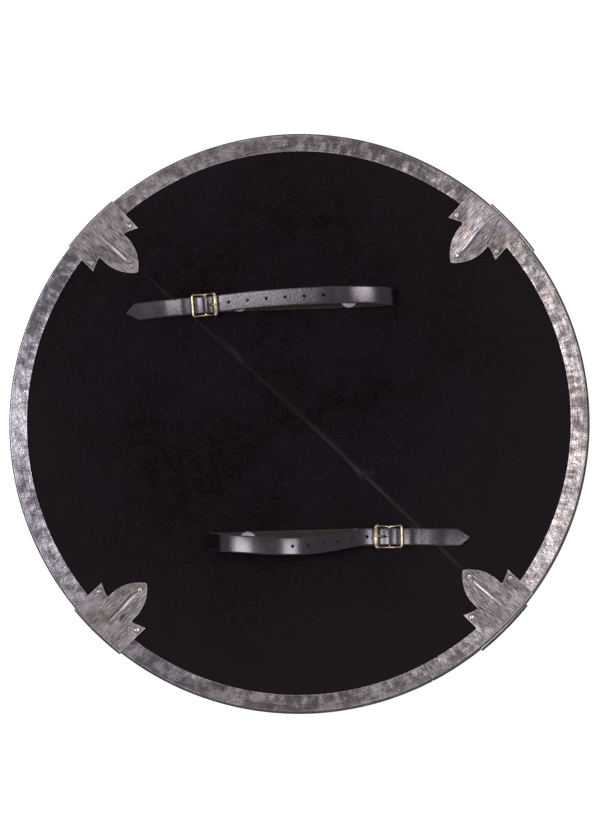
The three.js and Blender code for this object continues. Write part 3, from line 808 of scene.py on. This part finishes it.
def build_rim(steel):
    """The channel: folded steel with a puckered flange on each face and one butt joint."""
    bm = bmesh.new()
    radius, height = on_sphere(SKIN_RADIUS, EDGE_ANGLE)
    sine, cosine = math.sin(EDGE_ANGLE), math.cos(EDGE_ANGLE)
    outline = channel_outline()
    count = len(outline)
    verts = [bm.verts.new((a, 0, b)) for a, b in outline]
    edges = [bm.edges.new((verts[i], verts[(i + 1) % count])) for i in range(count)]
    bmesh.ops.contextual_create(bm, geom=edges)
    start_cap = bm.faces[:]
    gap = JOINT_WIDTH / OUTER_RADIUS
    bmesh.ops.spin(
        bm,
        geom=verts + edges + start_cap,
        cent=(-radius, 0, 0),
        axis=(0, 0, 1),
        angle=math.tau - gap,
        steps=760,
    )
    face_outwards(bm)
    layer_names = ("edge", "paleness_and_painted_light", "warmth", "inner")
    edge, paleness_and_painted_light, warmth, inner = (float_layer(bm, name) for name in layer_names)
    layer = bm.loops.layers.uv.new("flat")
    for vert in bm.verts:
        angle = math.atan2(vert.co.y, vert.co.x + radius) % math.tau
        if angle > math.tau - gap / 2:
            angle = 0.0
        outwards = math.hypot(vert.co.x + radius, vert.co.y) - radius
        up = vert.co.z
        is_back = up > GRIP / 2
        azimuth = JOINT_AZIMUTH + math.degrees(angle + gap / 2)
        run = angle * OUTER_RADIUS
        inwards = max(0.0, -outwards)
        dent = pucker(run, inwards, 2.3 if is_back else 31.7)
        dent = 0.85 * MM * dent * (1 - 0.92 * clip_cover(azimuth, is_back))
        sway = 0.12 * MM * wander(run, up, 60 * MM, 5.5)
        shift = max(-0.1 * MM, dent) * (1 if is_back else -1)
        r = radius + (outwards + sway) * cosine - (up + shift) * sine
        r = min(r, OUTER_RADIUS)
        z = height + (outwards + sway) * sine + (up + shift) * cosine
        turn = math.radians(azimuth)
        vert[edge] = edge_wear(outwards, up, run)
        # Paleness by azimuth, partly painted reflection of the lamps, and the warmth of the stain.
        vert[paleness_and_painted_light], vert[warmth] = patina_and_painted_light(azimuth)
        vert[warmth] *= 0.6 + 0.4 * wander(run, up, 40 * MM, 8.1)
        # Painted light and shade: the crests of the puckers are made paler and their dips darker.
        vert[paleness_and_painted_light] += 0.35 * (dent / MM) + 0.08 * wander(run, inwards, 30 * MM, 6.2)
        vert[inner] = blend(3 * MM, 9 * MM, inwards)
        vert.co = (r * math.cos(turn), r * math.sin(turn), z)
    for face in bm.faces:
        for loop in face.loops:
            x, y, z = loop.vert.co
            around = (math.degrees(math.atan2(y, x)) - JOINT_AZIMUTH) % 360
            loop[layer].uv = (math.hypot(x, y), math.radians(around) * OUTER_RADIUS)
    add_piece(bm, "steel_rim", [steel], ["rim"], sharp_angle=40)


def edge_wear(outwards, up, run):
    """Bare bright steel along the cut edges and the folds."""
    cut = 1 - blend(0, 0.9 * MM, outwards + FLANGE)
    fold = 1 - blend(0, 0.9 * MM, abs(outwards - 1.9 * MM))
    fold *= 1 - blend(0.2 * MM, 1.2 * MM, min(up, GRIP - up))
    broken = 0.55 + 0.45 * wander(run, 0, 9 * MM, 1.7)
    return 0.7 * max(cut, fold) * broken


# Leaf clips

LEAF = [  # half of the outline: along the edge and inwards, in mm
    *((34.7, 0), (34.7, 37.0), (28.6, 34.2), (22.6, 31.7), (20.2, 31.1), (18.7, 31.9)),
    *((18.3, 33.6), (18.5, 37.5), (18.1, 43), (16.9, 48.5), (14.9, 54), (12.0, 59.3)),
    *((8.4, 64.3), (4.4, 68.8), (0.9, 71.6)),
]
PLATE_PITCH = 1.6 * MM


def leaf_blank(overhang):
    """The flat plate: straight on the edge of the shield, two ears and a leaf."""
    bm = bmesh.new()
    half = [(u * MM, v * MM) for u, v in LEAF]
    half[0] = (CLIP_HALF_WIDTH, -overhang)
    outline = half + [(-u, v) for u, v in half[::-1]]
    bm.faces.new([bm.verts.new((u, v, 0)) for u, v in outline])
    fine = [k * PLATE_PITCH / 3 for k in range(-11, 12)]
    coarse = steps(-CLIP_HALF_WIDTH, CLIP_HALF_WIDTH, PLATE_PITCH)[1:-1]
    lattice = sorted(fine + [u for u in coarse if abs(u) > fine[-1]])
    slice_across(bm, Vector((1, 0, 0)), lattice)
    slice_across(bm, Vector((0, 1, 0)), steps(-overhang, 71 * MM, PLATE_PITCH)[1:-1])
    bm.normal_update()
    edge = float_layer(bm, "edge")
    for vert in bm.verts:
        vert[edge] = 1.0 if vert.is_boundary else 0.0
    lay_flat_map(bm)
    return bm


def beside_vein(u, v, seed):
    """How far a point of the leaf is to one side of its slightly bent vein."""
    return u - 1.6 * MM * blend(52 * MM, 24 * MM, v) + 0.4 * MM * math.sin(seed * 2.1)


def midrib(u, v, seed):
    """The vein pressed up along the middle of the leaf, and the fall to either side."""
    bent = beside_vein(u, v, seed)
    length = blend(22 * MM, 27 * MM, v) * (1 - blend(54 * MM, 62 * MM, v))
    width = 1.9 * MM - 0.8 * MM * blend(36 * MM, 60 * MM, v)
    vein = 0.85 * MM * length * math.exp(-((bent / width) ** 2))
    fall = 0.028 * blend(18 * MM, 36 * MM, v) * abs(bent) * (1 - blend(62 * MM, 72 * MM, v))
    return vein - fall


def painted_rib_light(u, v, seed):
    """Painted highlight along the vein, and painted shade on one side of it."""
    bent = beside_vein(u, v, seed)
    strip = blend(28 * MM, 36 * MM, v) * (1 - blend(50 * MM, 58 * MM, v))
    thread = blend(12 * MM, 18 * MM, v) * (1 - blend(28 * MM, 34 * MM, v))
    bright = strip * math.exp(-((bent / (1.5 * MM)) ** 4))
    bright += 0.6 * thread * math.exp(-((bent / (0.7 * MM)) ** 2))
    beside = (bent + 2.6 * MM) / (0.9 * MM)
    return bright, max(strip, 0.7 * thread) * math.exp(-(beside**2))


def plate_dents(u, v, seed):
    return 0.16 * MM * wander(u, v, 9 * MM, seed) + 0.3 * MM * wander(u, v, 26 * MM, seed + 5)


def follow_edge(u, v):
    """Moves a plate's outer part so that it follows the round of the shield's edge."""
    return v + u * u / (2 * LOCAL_RADIUS) * (1 - blend(4 * MM, 26 * MM, v))


def build_clip(place, face, steel):
    """One leaf plate, with a pressed vein on the back and a lip over the edge on the front."""
    clip = CLIPS[place]
    is_back = face == "back"
    seed = PLACES.index(place) * 3.7 + (0 if is_back else 20)
    lip_height = GRIP - FOLD_RADIUS - FRONT_SEAT
    bm = leaf_blank(clip["over"] * MM if is_back else FOLD_RADIUS + GAP + lip_height)
    layer_names = ("browning", "ridge", "painted_rib_shade")
    browning, ridge, painted_rib_shade = (float_layer(bm, name) for name in layer_names)
    edge = bm.verts.layers.float["edge"]
    for vert in bm.verts:
        u, v = vert.co.xy
        vert[browning] = clip["browning"] * (1 + wander(u, v, 30 * MM, seed + 2))
        if is_back:
            # Painted highlight along the vein and painted shade beside it.
            vert[ridge], vert[painted_rib_shade] = painted_rib_light(u, v, seed)
        vert[edge] *= 0.35 + 0.3 * (0.5 + 0.5 * wander(u, v, 12 * MM, seed + 8))
        along = follow_edge(u, v)
        if is_back:
            lift = BACK_SEAT + max(0.0, v) * BACK_SLOPE
            lift -= 0.35 * MM * blend(0, -1.9 * MM, v)
            lift += max(0.0, midrib(u, v, seed) + plate_dents(u, v, seed) + 0.35 * MM)
            vert.co = (u, along, lift)
        else:
            vert.co = front_plate_point(u, v, along, seed)
    face_outwards(bm)
    outwards = 1 if is_back else -1
    if sum(face.normal.z * face.calc_area() for face in bm.faces) * outwards > 0:
        bmesh.ops.reverse_faces(bm, faces=bm.faces[:])
    bmesh.ops.solidify(bm, geom=bm.faces[:], thickness=STEEL)
    face_outwards(bm)
    bm.transform(clip_frame(clip, is_back))
    name = f"leaf_{face}_{place}"
    add_piece(bm, name, [steel], [f"clip_{face}_{place}"], sharp_angle=50)


def front_plate_point(u, v, along, seed):
    """A front plate lies on the channel and the board, then folds up round the wall."""
    bend_at = -(FOLD_RADIUS + GAP)
    board_rise = (u * u + v * v) / (2 * DISH_RADIUS)
    lift = FRONT_SEAT + FRONT_SLOPE * max(0.0, v) + 0.4 * board_rise
    lift -= max(0.0, plate_dents(u, v, seed) + 0.3 * MM)
    if v >= bend_at:
        return (u, along, lift)
    round_edge = along - v
    return (u, bend_at + round_edge, lift + (bend_at - v))


def build_nail(place, face, pin, steel):
    """A hand-peened nail head on its square shank."""
    clip = CLIPS[place]
    is_back = face == "back"
    u, v = (x * MM for x in PINS[pin])
    seed = PLACES.index(place) * 5.3 + list(PINS).index(pin) * 1.9 + (0 if is_back else 40)
    bm = bmesh.new()
    bmesh.ops.create_icosphere(bm, subdivisions=4, radius=1)
    cut = {"plane_co": (0, 0, 0), "plane_no": (0, 0, -1), "clear_outer": True}
    bmesh.ops.bisect_plane(bm, geom=everything_in(bm), **cut)
    rim = [e for e in bm.edges if e.is_boundary]
    bmesh.ops.contextual_create(bm, geom=rim)
    for vert in bm.verts:
        x, y, z = vert.co
        flattened = min(z, 0.72 + 0.08 * wander(x, y, 0.6, seed))
        ragged = 1 + 0.07 * wander(x, y, 0.7, seed + 3)
        broad = NAIL_RADIUS * ragged
        vert.co = (broad * x, broad * y, NAIL_HEIGHT * flattened)
    for vert in bmesh.ops.create_cube(bm, size=1)["verts"]:
        x, y, z = vert.co
        vert.co = (x * NAIL_SHANK, y * NAIL_SHANK, (z - 0.5) * NAIL_LENGTH)
    if is_back:
        seat = BACK_SEAT + STEEL + v * BACK_SLOPE + 0.3 * MM
    else:
        seat = FRONT_SEAT - STEEL + FRONT_SLOPE * v - 0.1 * MM
        bmesh.ops.rotate(bm, verts=bm.verts[:], matrix=Matrix.Rotation(math.pi, 3, "X"))
    bmesh.ops.translate(bm, verts=bm.verts[:], vec=(u, v, seat))
    face_outwards(bm)
    bm.transform(clip_frame(clip, is_back))
    name = f"nail_{face}_{place}_{pin}"
    add_piece(bm, name, [steel], [f"pin_{face}_{place}_{pin}"], 50)


# Straps


def plan_of(strap, x):
    """Where the strap's middle lies across the shield, x and the result in metres."""
    middle, slope, bow, curl = strap["plan"]
    x = x / MM
    return (middle + slope * x + bow * x * x + curl * x**3) * MM


def over_lining(strap, distance, height):
    """A point over the lining, and the directions along, across and out of it."""
    x = strap["buckle_x"] * MM + strap["towards"] * distance
    y = plan_of(strap, x)
    z = lining_height(x, y)
    outward = Vector((-x, -y, CENTRE_HEIGHT - z)).normalized()
    step = 0.5 * MM
    heading = Vector((2 * step, plan_of(strap, x + step) - plan_of(strap, x - step), 0))
    across = outward.cross(heading).normalized()
    along = across.cross(outward) * strap["towards"]
    lean = strap["lean"][0] + strap["lean"][1] * distance / MM
    raised = max(0.0, height - OVER_BAR)
    point = Vector((x, y, z)) + outward * height + across * lean * raised
    return point, along, across, outward


def frame_over(strap, distance):
    """The frame of a fitting on the lining: x along the strap, z out of the lining."""
    point, along, _, outward = over_lining(strap, distance, 0)
    return frame_at(point, along, outward.cross(along), outward)


def route_points(strap):
    """All the points of a strap's route: tail, buckle, arch, and the wrap round the bar."""
    roller, height = strap["roller"]
    buckle = [
        (-13, UNDER_FAR_BAR / MM),
        (-7, OVER_BAR / MM - 1),
        (0, OVER_BAR / MM),
        (roller / 2, (OVER_BAR + UNDER_FAR_BAR) / 2 / MM),
        (roller, height - UNDER_ROLLER / MM),
    ]
    return strap["tail"] + buckle + strap["arch"] + WRAP


def smooth_route(points, samples=24):
    """A centripetal spline through the points: its runs and its places."""
    spots = [Vector((x * MM, z * MM)) for x, z in points]
    padded = [2 * spots[0] - spots[1], *spots, 2 * spots[-1] - spots[-2]]
    line = []
    for before, start, end, after in zip(padded, padded[1:], padded[2:], padded[3:]):
        d0, d1, d2 = (
            math.sqrt((q - p).length)
            for p, q in ((before, start), (start, end), (end, after))
        )
        leave = (start - before) / d0 - (end - before) / (d0 + d1) + (end - start) / d1
        arrive = (end - start) / d1 - (after - start) / (d1 + d2) + (after - end) / d2
        leave, arrive = leave * d1, arrive * d1
        for i in range(samples):
            t = i / samples
            line.append(
                start * (2 * t**3 - 3 * t**2 + 1)
                + leave * (t**3 - 2 * t**2 + t)
                + end * (3 * t**2 - 2 * t**3)
                + arrive * (t**3 - t**2)
            )
    line.append(spots[-1])
    runs = [0.0]
    for p, q in zip(line, line[1:]):
        runs.append(runs[-1] + (q - p).length)
    return runs, line


def along_route(route, run):
    """The place and the direction of the route at a run from its start."""
    runs, line = route
    i = min(max(bisect_left(runs, run), 1), len(runs) - 1)
    share = (run - runs[i - 1]) / (runs[i] - runs[i - 1])
    here = line[i - 1].lerp(line[i], share)
    low, high = max(0, i - 2), min(len(line) - 1, i + 1)
    return here, (line[high] - line[low]).normalized()


def run_where(route, distance):
    """The run at which the route first passes a distance from the buckle."""
    runs, line = route
    i = next(k for k, spot in enumerate(line) if spot.x > distance)
    share = (distance - line[i - 1].x) / (line[i].x - line[i - 1].x)
    return runs[i - 1] + share * (runs[i] - runs[i - 1])


def cutters(holes):
    """Punches for the strap: each is a run, a half length and a half width."""
    bm = bmesh.new()
    rod = {"segments": 24, "radius1": 1, "radius2": 1, "depth": 4 * LEATHER}
    for run, half_length, half_width in holes:
        size = Matrix.Diagonal((half_length, half_width, 1, 1))
        place = Matrix.Translation((run, 0, 0)) @ size
        made = bmesh.ops.create_cone(bm, cap_ends=True, matrix=place, **rod)
        for vert in made["verts"]:
            for face in vert.link_faces:
                face.material_index = 2
    return bm


def cut_holes(blank, punches):
    """The blank less the punches, as a new bmesh."""
    made = [add_object("blank", mesh_from(blank, "blank"))]
    made.append(add_object("punches", mesh_from(punches, "punches")))
    cut = made[0].modifiers.new("holes", "BOOLEAN")
    cut.operation = "DIFFERENCE"
    cut.object = made[1]
    cut.solver = "EXACT"
    bpy.context.view_layer.update()
    ready = made[0].evaluated_get(bpy.context.evaluated_depsgraph_get())
    result = bmesh.new()
    result.from_mesh(ready.to_mesh())
    for piece in made:
        bpy.data.objects.remove(piece)
    return result


def strap_blank(length):
    """The flat strap: x is the run, grain side up, with rounded edges and a pointed end."""
    bm = bmesh.new()
    runs = steps(0, length, 1.4 * MM)
    lanes = [-1, -0.93, -0.85, -0.6, -0.3, 0, 0.3, 0.6, 0.85, 0.93, 1]
    cells = {"x_segments": len(runs) - 1, "y_segments": len(lanes) - 1}
    bmesh.ops.create_grid(bm, size=0.5, **cells)
    for vert in bm.verts:
        run = runs[round((vert.co.x + 0.5) * (len(runs) - 1))]
        lane = lanes[round((vert.co.y + 0.5) * (len(lanes) - 1))]
        shoulder = (11.0 if lane > 0 else 14.0) * MM
        narrow = min(1.0, 0.03 + run / shoulder)
        vert.co = (run, lane * narrow * STRAP_WIDTH / 2, LEATHER / 2)
    face_outwards(bm)
    if bm.faces[:][0].normal.z < 0:
        bmesh.ops.reverse_faces(bm, faces=bm.faces[:])
    grain = bm.faces[:]
    bmesh.ops.solidify(bm, geom=grain, thickness=LEATHER)
    bm.normal_update()
    for face in bm.faces:
        up = face.normal.z
        share = abs(face.calc_center_median().y) / (STRAP_WIDTH / 2)
        is_edge = abs(up) < 0.5 or share > 0.93
        face.material_index = 2 if is_edge else 0 if up > 0 else 1
    for vert in bm.verts:
        share = abs(vert.co.y) / (STRAP_WIDTH / 2)
        vert.co.z *= 1 - 0.3 * blend(0.93, 1.0, share)
    return bm


def build_strap(name, finishes):
    """One leather band, cut flat, punched, and laid along its route."""
    strap = STRAPS[name]
    route = smooth_route(route_points(strap))
    length = route[0][-1]
    prong_run = run_where(route, 6 * MM)
    holes = [(prong_run, 4.4 * MM, 1.5 * MM)]
    for k in range(1, HOLE_COUNT + 1):
        run = prong_run + k * strap["hole_pitch"] * MM
        holes.append((run, HOLE_RADIUS, HOLE_RADIUS))
    back_to_bar = length - WRAPPED_END * MM - 5.5 * MM
    holes.append((back_to_bar, 7.5 * MM, 1.9 * MM))
    bm = cut_holes(strap_blank(length), cutters(holes))
    lay_flat_map(bm)
    creased = float_layer(bm, "creased")
    for vert in bm.verts:
        run, side, thick = vert.co
        spot, way = along_route(route, run)
        cupped = -0.22 * MM * (side / (STRAP_WIDTH / 2)) ** 2
        wavy = 0.1 * MM * wander(run, side, 14 * MM, 4.4)
        out = thick + cupped + wavy
        distance = spot.x - way.y * out
        height = max(LAYER_ONE, spot.y) + way.x * out
        point, _, across, _ = over_lining(strap, distance, height)
        vert.co = point + across * (strap["towards"] * side)
        vert[creased] = creasing(name, run, spot.x)
    face_outwards(bm)
    add_piece(bm, f"{name}_strap_leather", finishes, [f"{name}_strap"], 45)


def creasing(name, run, distance):
    """How wrinkled the grain is: most where a strap has been bent to its buckle."""
    if name == "hand":
        return 0.25 * (1 - blend(30 * MM, 90 * MM, distance))
    if run < 90 * MM:
        return math.exp(-(((run - 50 * MM) / (22 * MM)) ** 2))
    return blend(14 * MM, 24 * MM, distance) * (1 - blend(95 * MM, 140 * MM, distance))


# Buckles and rivets


def sweep(bm, stations, sides, closed):
    """Joins rings along a path. A station is a place, a width and a height."""
    rings = []
    count = len(stations)
    for i, (place, width, height) in enumerate(stations):
        if closed:
            after, before = stations[(i + 1) % count][0], stations[i - 1][0]
        else:
            after, before = stations[min(i + 1, count - 1)][0], stations[max(i - 1, 0)][0]
        way = (after - before).normalized()
        side = way.cross(Vector((0, 0, 1))).normalized()
        matrix = frame_at(place, side, side.cross(way), way)
        made = bmesh.ops.create_circle(bm, segments=sides, radius=1)["verts"]
        for vert in made:
            x, y, _ = vert.co
            squared = Vector((math.copysign(abs(x) ** 0.8, x), math.copysign(abs(y) ** 0.8, y)))
            vert.co = matrix @ Vector((squared.x * width, squared.y * height, 0))
        rings.append(list({e for v in made for e in v.link_edges}))
    pairs = list(zip(rings, rings[1:]))
    if closed:
        pairs.append((rings[-1], rings[0]))
    for one, other in pairs:
        bmesh.ops.bridge_loops(bm, edges=one + other)
    if not closed:
        for ring in (rings[0], rings[-1]):
            bmesh.ops.contextual_create(bm, geom=ring)


def roller_of(name):
    """Where the roller's middle is: how far along the strap and how high."""
    away, height = STRAPS[name]["roller"]
    return away * MM, height * MM


def frame_stations(roller_away, roller_height):
    """The closed wire of the frame: far bar, two pinched sides and the roller's pin."""
    corner = 2.4 * MM
    reach, half = FAR_BAR_AWAY - corner, ARM_OFFSET - corner
    centres = [Vector(p) for p in ((reach, half), (-reach, half), (-reach, -half), (reach, -half))]
    points = []
    for turn, centre in enumerate(centres):
        angles = [math.radians(90 * turn + 15 * step) for step in range(7)]
        bend = [corner * Vector((math.cos(angle), math.sin(angle))) for angle in angles]
        points += [centre + spot for spot in bend]
        first, last = centre + bend[-1], centres[(turn + 1) % 4] + bend[-1]
        points += [first.lerp(last, k / 12) for k in range(1, 12)]
    stations = []
    for x, y in points:
        aside = abs(y) / ARM_OFFSET
        share = min(1.0, abs(x) / FAR_BAR_AWAY)
        pinch = 0.6 * MM * (1 - share**2) * blend(0.75, 1, aside)
        away, end = (roller_away, roller_height) if x > 0 else (FAR_BAR_AWAY, FAR_BAR_HEIGHT)
        z = BAR_HEIGHT + (end - BAR_HEIGHT) * share**1.7
        place = Vector((x * away / FAR_BAR_AWAY, y - math.copysign(pinch, y), z))
        lug = blend(8.5 * MM, 12.5 * MM, x) * blend(0.8, 0.95, aside)
        pin = blend(12 * MM, 14 * MM, x) * (1 - blend(0.72, 0.84, aside))
        far = blend(-11 * MM, -13.5 * MM, x)
        width = (1.2 + 0.75 * lug + 0.3 * far - 0.1 * pin) * MM
        height = (1.35 + 0.85 * lug + 0.15 * far - 0.15 * pin) * MM
        stations.append((place, width, height))
    return stations


def add_to_buckle(bm, name, part, node, brass, sharp_angle):
    """Sets a part of a buckle over the lining, where its strap's centre bar is."""
    face_outwards(bm)
    bm.transform(frame_over(STRAPS[name], 0))
    nodes = [f"{name}_buckle_{node}"]
    add_piece(bm, f"{name}_buckle_{part}", [brass], nodes, sharp_angle)


def build_buckle_frame(name, brass):
    """The wire of the frame, with the centre bar that the strap is wrapped round."""
    bm = bmesh.new()
    sweep(bm, frame_stations(*roller_of(name)), 16, closed=True)
    place = Matrix.Translation((0, 0, BAR_HEIGHT)) @ Matrix.Rotation(math.pi / 2, 4, "X")
    rod = {"radius1": BAR_RADIUS, "radius2": BAR_RADIUS, "depth": 2 * ARM_OFFSET - 2.6 * MM}
    bmesh.ops.create_cone(bm, cap_ends=True, segments=20, matrix=place, **rod)
    add_to_buckle(bm, name, "wire", "frame", brass, 60)


def ring_outline(outer, bore, length, soft):
    """Half section of a tube about x, with softened ends: (x, radius) points."""
    half = length / 2
    return [
        (-half, bore),
        (-half, outer - soft),
        (-half + 0.3 * soft, outer - 0.3 * soft),
        (-half + soft, outer),
        (half - soft, outer),
        (half - 0.3 * soft, outer - 0.3 * soft),
        (half, outer - soft),
        (half, bore),
    ]


def spun_ring(bm, outline, matrix, turn_steps):
    """Spins a closed (x, radius) outline round the x axis, then places it."""
    verts = [bm.verts.new((x, 0, r)) for x, r in outline]
    edges = [bm.edges.new((verts[i - 1], verts[i])) for i in range(len(verts))]
    before = set(bm.verts) - set(verts)
    bmesh.ops.spin(
        bm,
        geom=verts + edges,
        cent=(0, 0, 0),
        axis=(1, 0, 0),
        angle=math.tau,
        steps=turn_steps,
        use_merge=True,
    )
    fresh = [v for v in bm.verts if v not in before]
    bmesh.ops.transform(bm, matrix=matrix, verts=fresh)


def across_at(away, height):
    """A frame whose x runs along the centre bar, at a distance and a height."""
    return Matrix.Translation((away, 0, height)) @ Matrix.Rotation(math.pi / 2, 4, "Z")


def build_roller(name, brass):
    """The tube that the strap bends over."""
    bm = bmesh.new()
    outline = ring_outline(ROLLER_RADIUS, 1.8 * MM, ROLLER_LENGTH, 0.7 * MM)
    spun_ring(bm, outline, across_at(*roller_of(name)), 40)
    add_to_buckle(bm, name, "sleeve", "roller", brass, 40)


def build_prong(name, brass):
    """The prong: an eye round the centre bar and a tapered bar that lies on the roller."""
    bm = bmesh.new()
    eye = ring_outline(BAR_RADIUS + GAP + 1.5 * MM, BAR_RADIUS + GAP, 2.2 * MM, 0.5 * MM)
    spun_ring(bm, eye, across_at(0, BAR_HEIGHT), 28)
    roller_away, roller_height = roller_of(name)
    top = roller_height + ROLLER_RADIUS + GAP + 1.0 * MM
    reach = roller_away / FAR_BAR_AWAY
    path = [
        (1.3, BAR_HEIGHT / MM + 2.5),
        (2.8, BAR_HEIGHT / MM + 2.6),
        (4.6, BAR_HEIGHT / MM + 3.4),
        (7.0, top / MM - 3.6),
        (9.4, top / MM - 1.5),
        (11.8, top / MM - 0.3),
        (14.2, top / MM),
        (16.2, top / MM - 0.35),
        (17.3, top / MM - 0.9),
    ]
    stations = []
    for i, (x, z) in enumerate(path):
        slim = 1 - 0.25 * i / len(path)
        tip = 0.35 if i == len(path) - 1 else 1
        place = Vector((x * reach * MM, 0, z * MM))
        stations.append((place, 1.1 * MM * slim * tip, 0.95 * MM * tip))
    sweep(bm, stations, 12, closed=False)
    add_to_buckle(bm, name, "tongue", "prong", brass, 50)


def cap_outline(radius, height, low):
    """A low domed cap as (radius, height) points, from its foot to the axis."""
    return [
        (0, low),
        (radius, low),
        (radius, low + 0.35 * height),
        (radius * 0.96, low + 0.62 * height),
        (radius * 0.86, low + 0.82 * height),
        (radius * 0.6, low + 0.95 * height),
        (radius * 0.3, low + height),
        (0, low + height),
    ]


def build_strap_rivet(name, end, nickel):
    """A broad flat rivet through strap, lining and board, with a smaller front head."""
    strap = STRAPS[name]
    layer = LAYER_TWO if end == "near" else LAYER_ONE
    top = layer + LEATHER / 2 + 0.1 * MM
    bottom = LINING_BACK - DISH_RADIUS - GAP
    shank = 2 * MM
    head = cap_outline(9.7 * MM, 1.6 * MM, top)
    front = [(r, 2 * bottom - z) for r, z in cap_outline(6 * MM, 1.5 * MM, bottom)]
    outline = head[::-1][:-1] + [(shank, top), (shank, bottom)] + front[1:]
    bm = turned(outline, 48)
    bm.transform(frame_over(strap, strap["rivets"][end] * MM))
    nodes = [f"{name}_strap_rivet_{end}"]
    add_piece(bm, f"{name}_rivet_{end}", [nickel], nodes, 40)


# The stage

CAMERA_AIM = Vector((3.0, 1.2, 45)) * MM
CAMERA_DISTANCE = 1.8
CAMERA_TILT = 4.3  # degrees off the shield's axis
CAMERA_TOWARDS = -52  # azimuth that it is tilted towards
LENS = 69.93
FLOOR_SIZE = 14.0


def build_floor():
    bm = bmesh.new()
    bmesh.ops.create_grid(bm, x_segments=8, y_segments=8, size=FLOOR_SIZE / 2)
    mesh = mesh_from(bm, "floor")
    floor = add_object("floor", mesh)
    floor.location.z = -0.2 * MM
    paper = bpy.data.materials.new("white paper")
    paper.use_nodes = True
    tree = paper.node_tree
    shader = tree.nodes["Principled BSDF"]
    set_surface(tree, shader, (0.35, 0.35, 0.35, 1), 0.9)
    shader.inputs["Specular IOR Level"].default_value = 0.1
    shader.inputs["Emission Color"].default_value = (1, 1, 1, 1)
    seen = add_node(tree, "LightPath").outputs["Is Camera Ray"]
    tree.links.new(seen, shader.inputs["Emission Strength"])
    mesh.materials.append(paper)


def add_softbox(name, place, width, height, power):
    """A soft light that faces the shield."""
    light = bpy.data.lights.new(name, "AREA")
    light.shape = "RECTANGLE"
    light.size, light.size_y = width, height
    light.energy = power
    lamp = add_object(name, light)
    lamp.location = place
    lamp.rotation_euler = (-Vector(place)).to_track_quat("-Z", "Y").to_euler()


def build_lights():
    add_softbox("left softbox", (-0.9, 0.05, 1.6), 0.5, 0.8, 8)
    add_softbox("right softbox", (0.72, 0.14, 1.6), 0.5, 0.45, 4.2)
    world = bpy.data.worlds.new("studio")
    world.use_nodes = True
    sky = world.node_tree.nodes["Background"]
    sky.inputs["Color"].default_value = (0.97, 0.96, 1.0, 1)
    sky.inputs["Strength"].default_value = 0.26
    bpy.context.scene.world = world


def build_camera():
    tilt, towards = math.radians(CAMERA_TILT), math.radians(CAMERA_TOWARDS)
    aside = Vector((math.cos(towards), math.sin(towards), 0))
    back = math.sin(tilt) * aside + Vector((0, 0, math.cos(tilt)))
    data = bpy.data.cameras.new("camera")
    data.lens = LENS
    data.sensor_width = 36
    camera = add_object("camera", data)
    right = Vector((0, 1, 0)).cross(back).normalized()
    place = CAMERA_AIM + back * CAMERA_DISTANCE
    camera.matrix_world = frame_at(place, right, back.cross(right), back)
    bpy.context.scene.camera = camera


def build_shield():
    """All the pieces, from the board up."""
    clip_steel = clip_finish()
    nails = nail_finish()
    leather = [
        strap_finish(),
        raw_leather_finish("flesh side", (0.018, 0.014, 0.015), (0.042, 0.033, 0.034)),
        raw_leather_finish("cut edge", (0.06, 0.026, 0.019), (0.14, 0.065, 0.05)),
    ]
    brass = brass_finish()
    nickel = nickel_finish()
    build_board(wood_finish())
    build_lining(suede_finish())
    build_rim(rim_finish())
    for place in PLACES:
        for face in ("back", "front"):
            build_clip(place, face, clip_steel)
            for pin in PINS:
                build_nail(place, face, pin, nails)
    for name in STRAPS:
        build_strap(name, leather)
        build_buckle_frame(name, brass)
        build_roller(name, brass)
        build_prong(name, brass)
        for end in ("near", "far"):
            build_strap_rivet(name, end, nickel)


build_camera()
build_floor()
build_lights()
build_shield()
bpy.context.scene.view_settings.view_transform = "Standard"
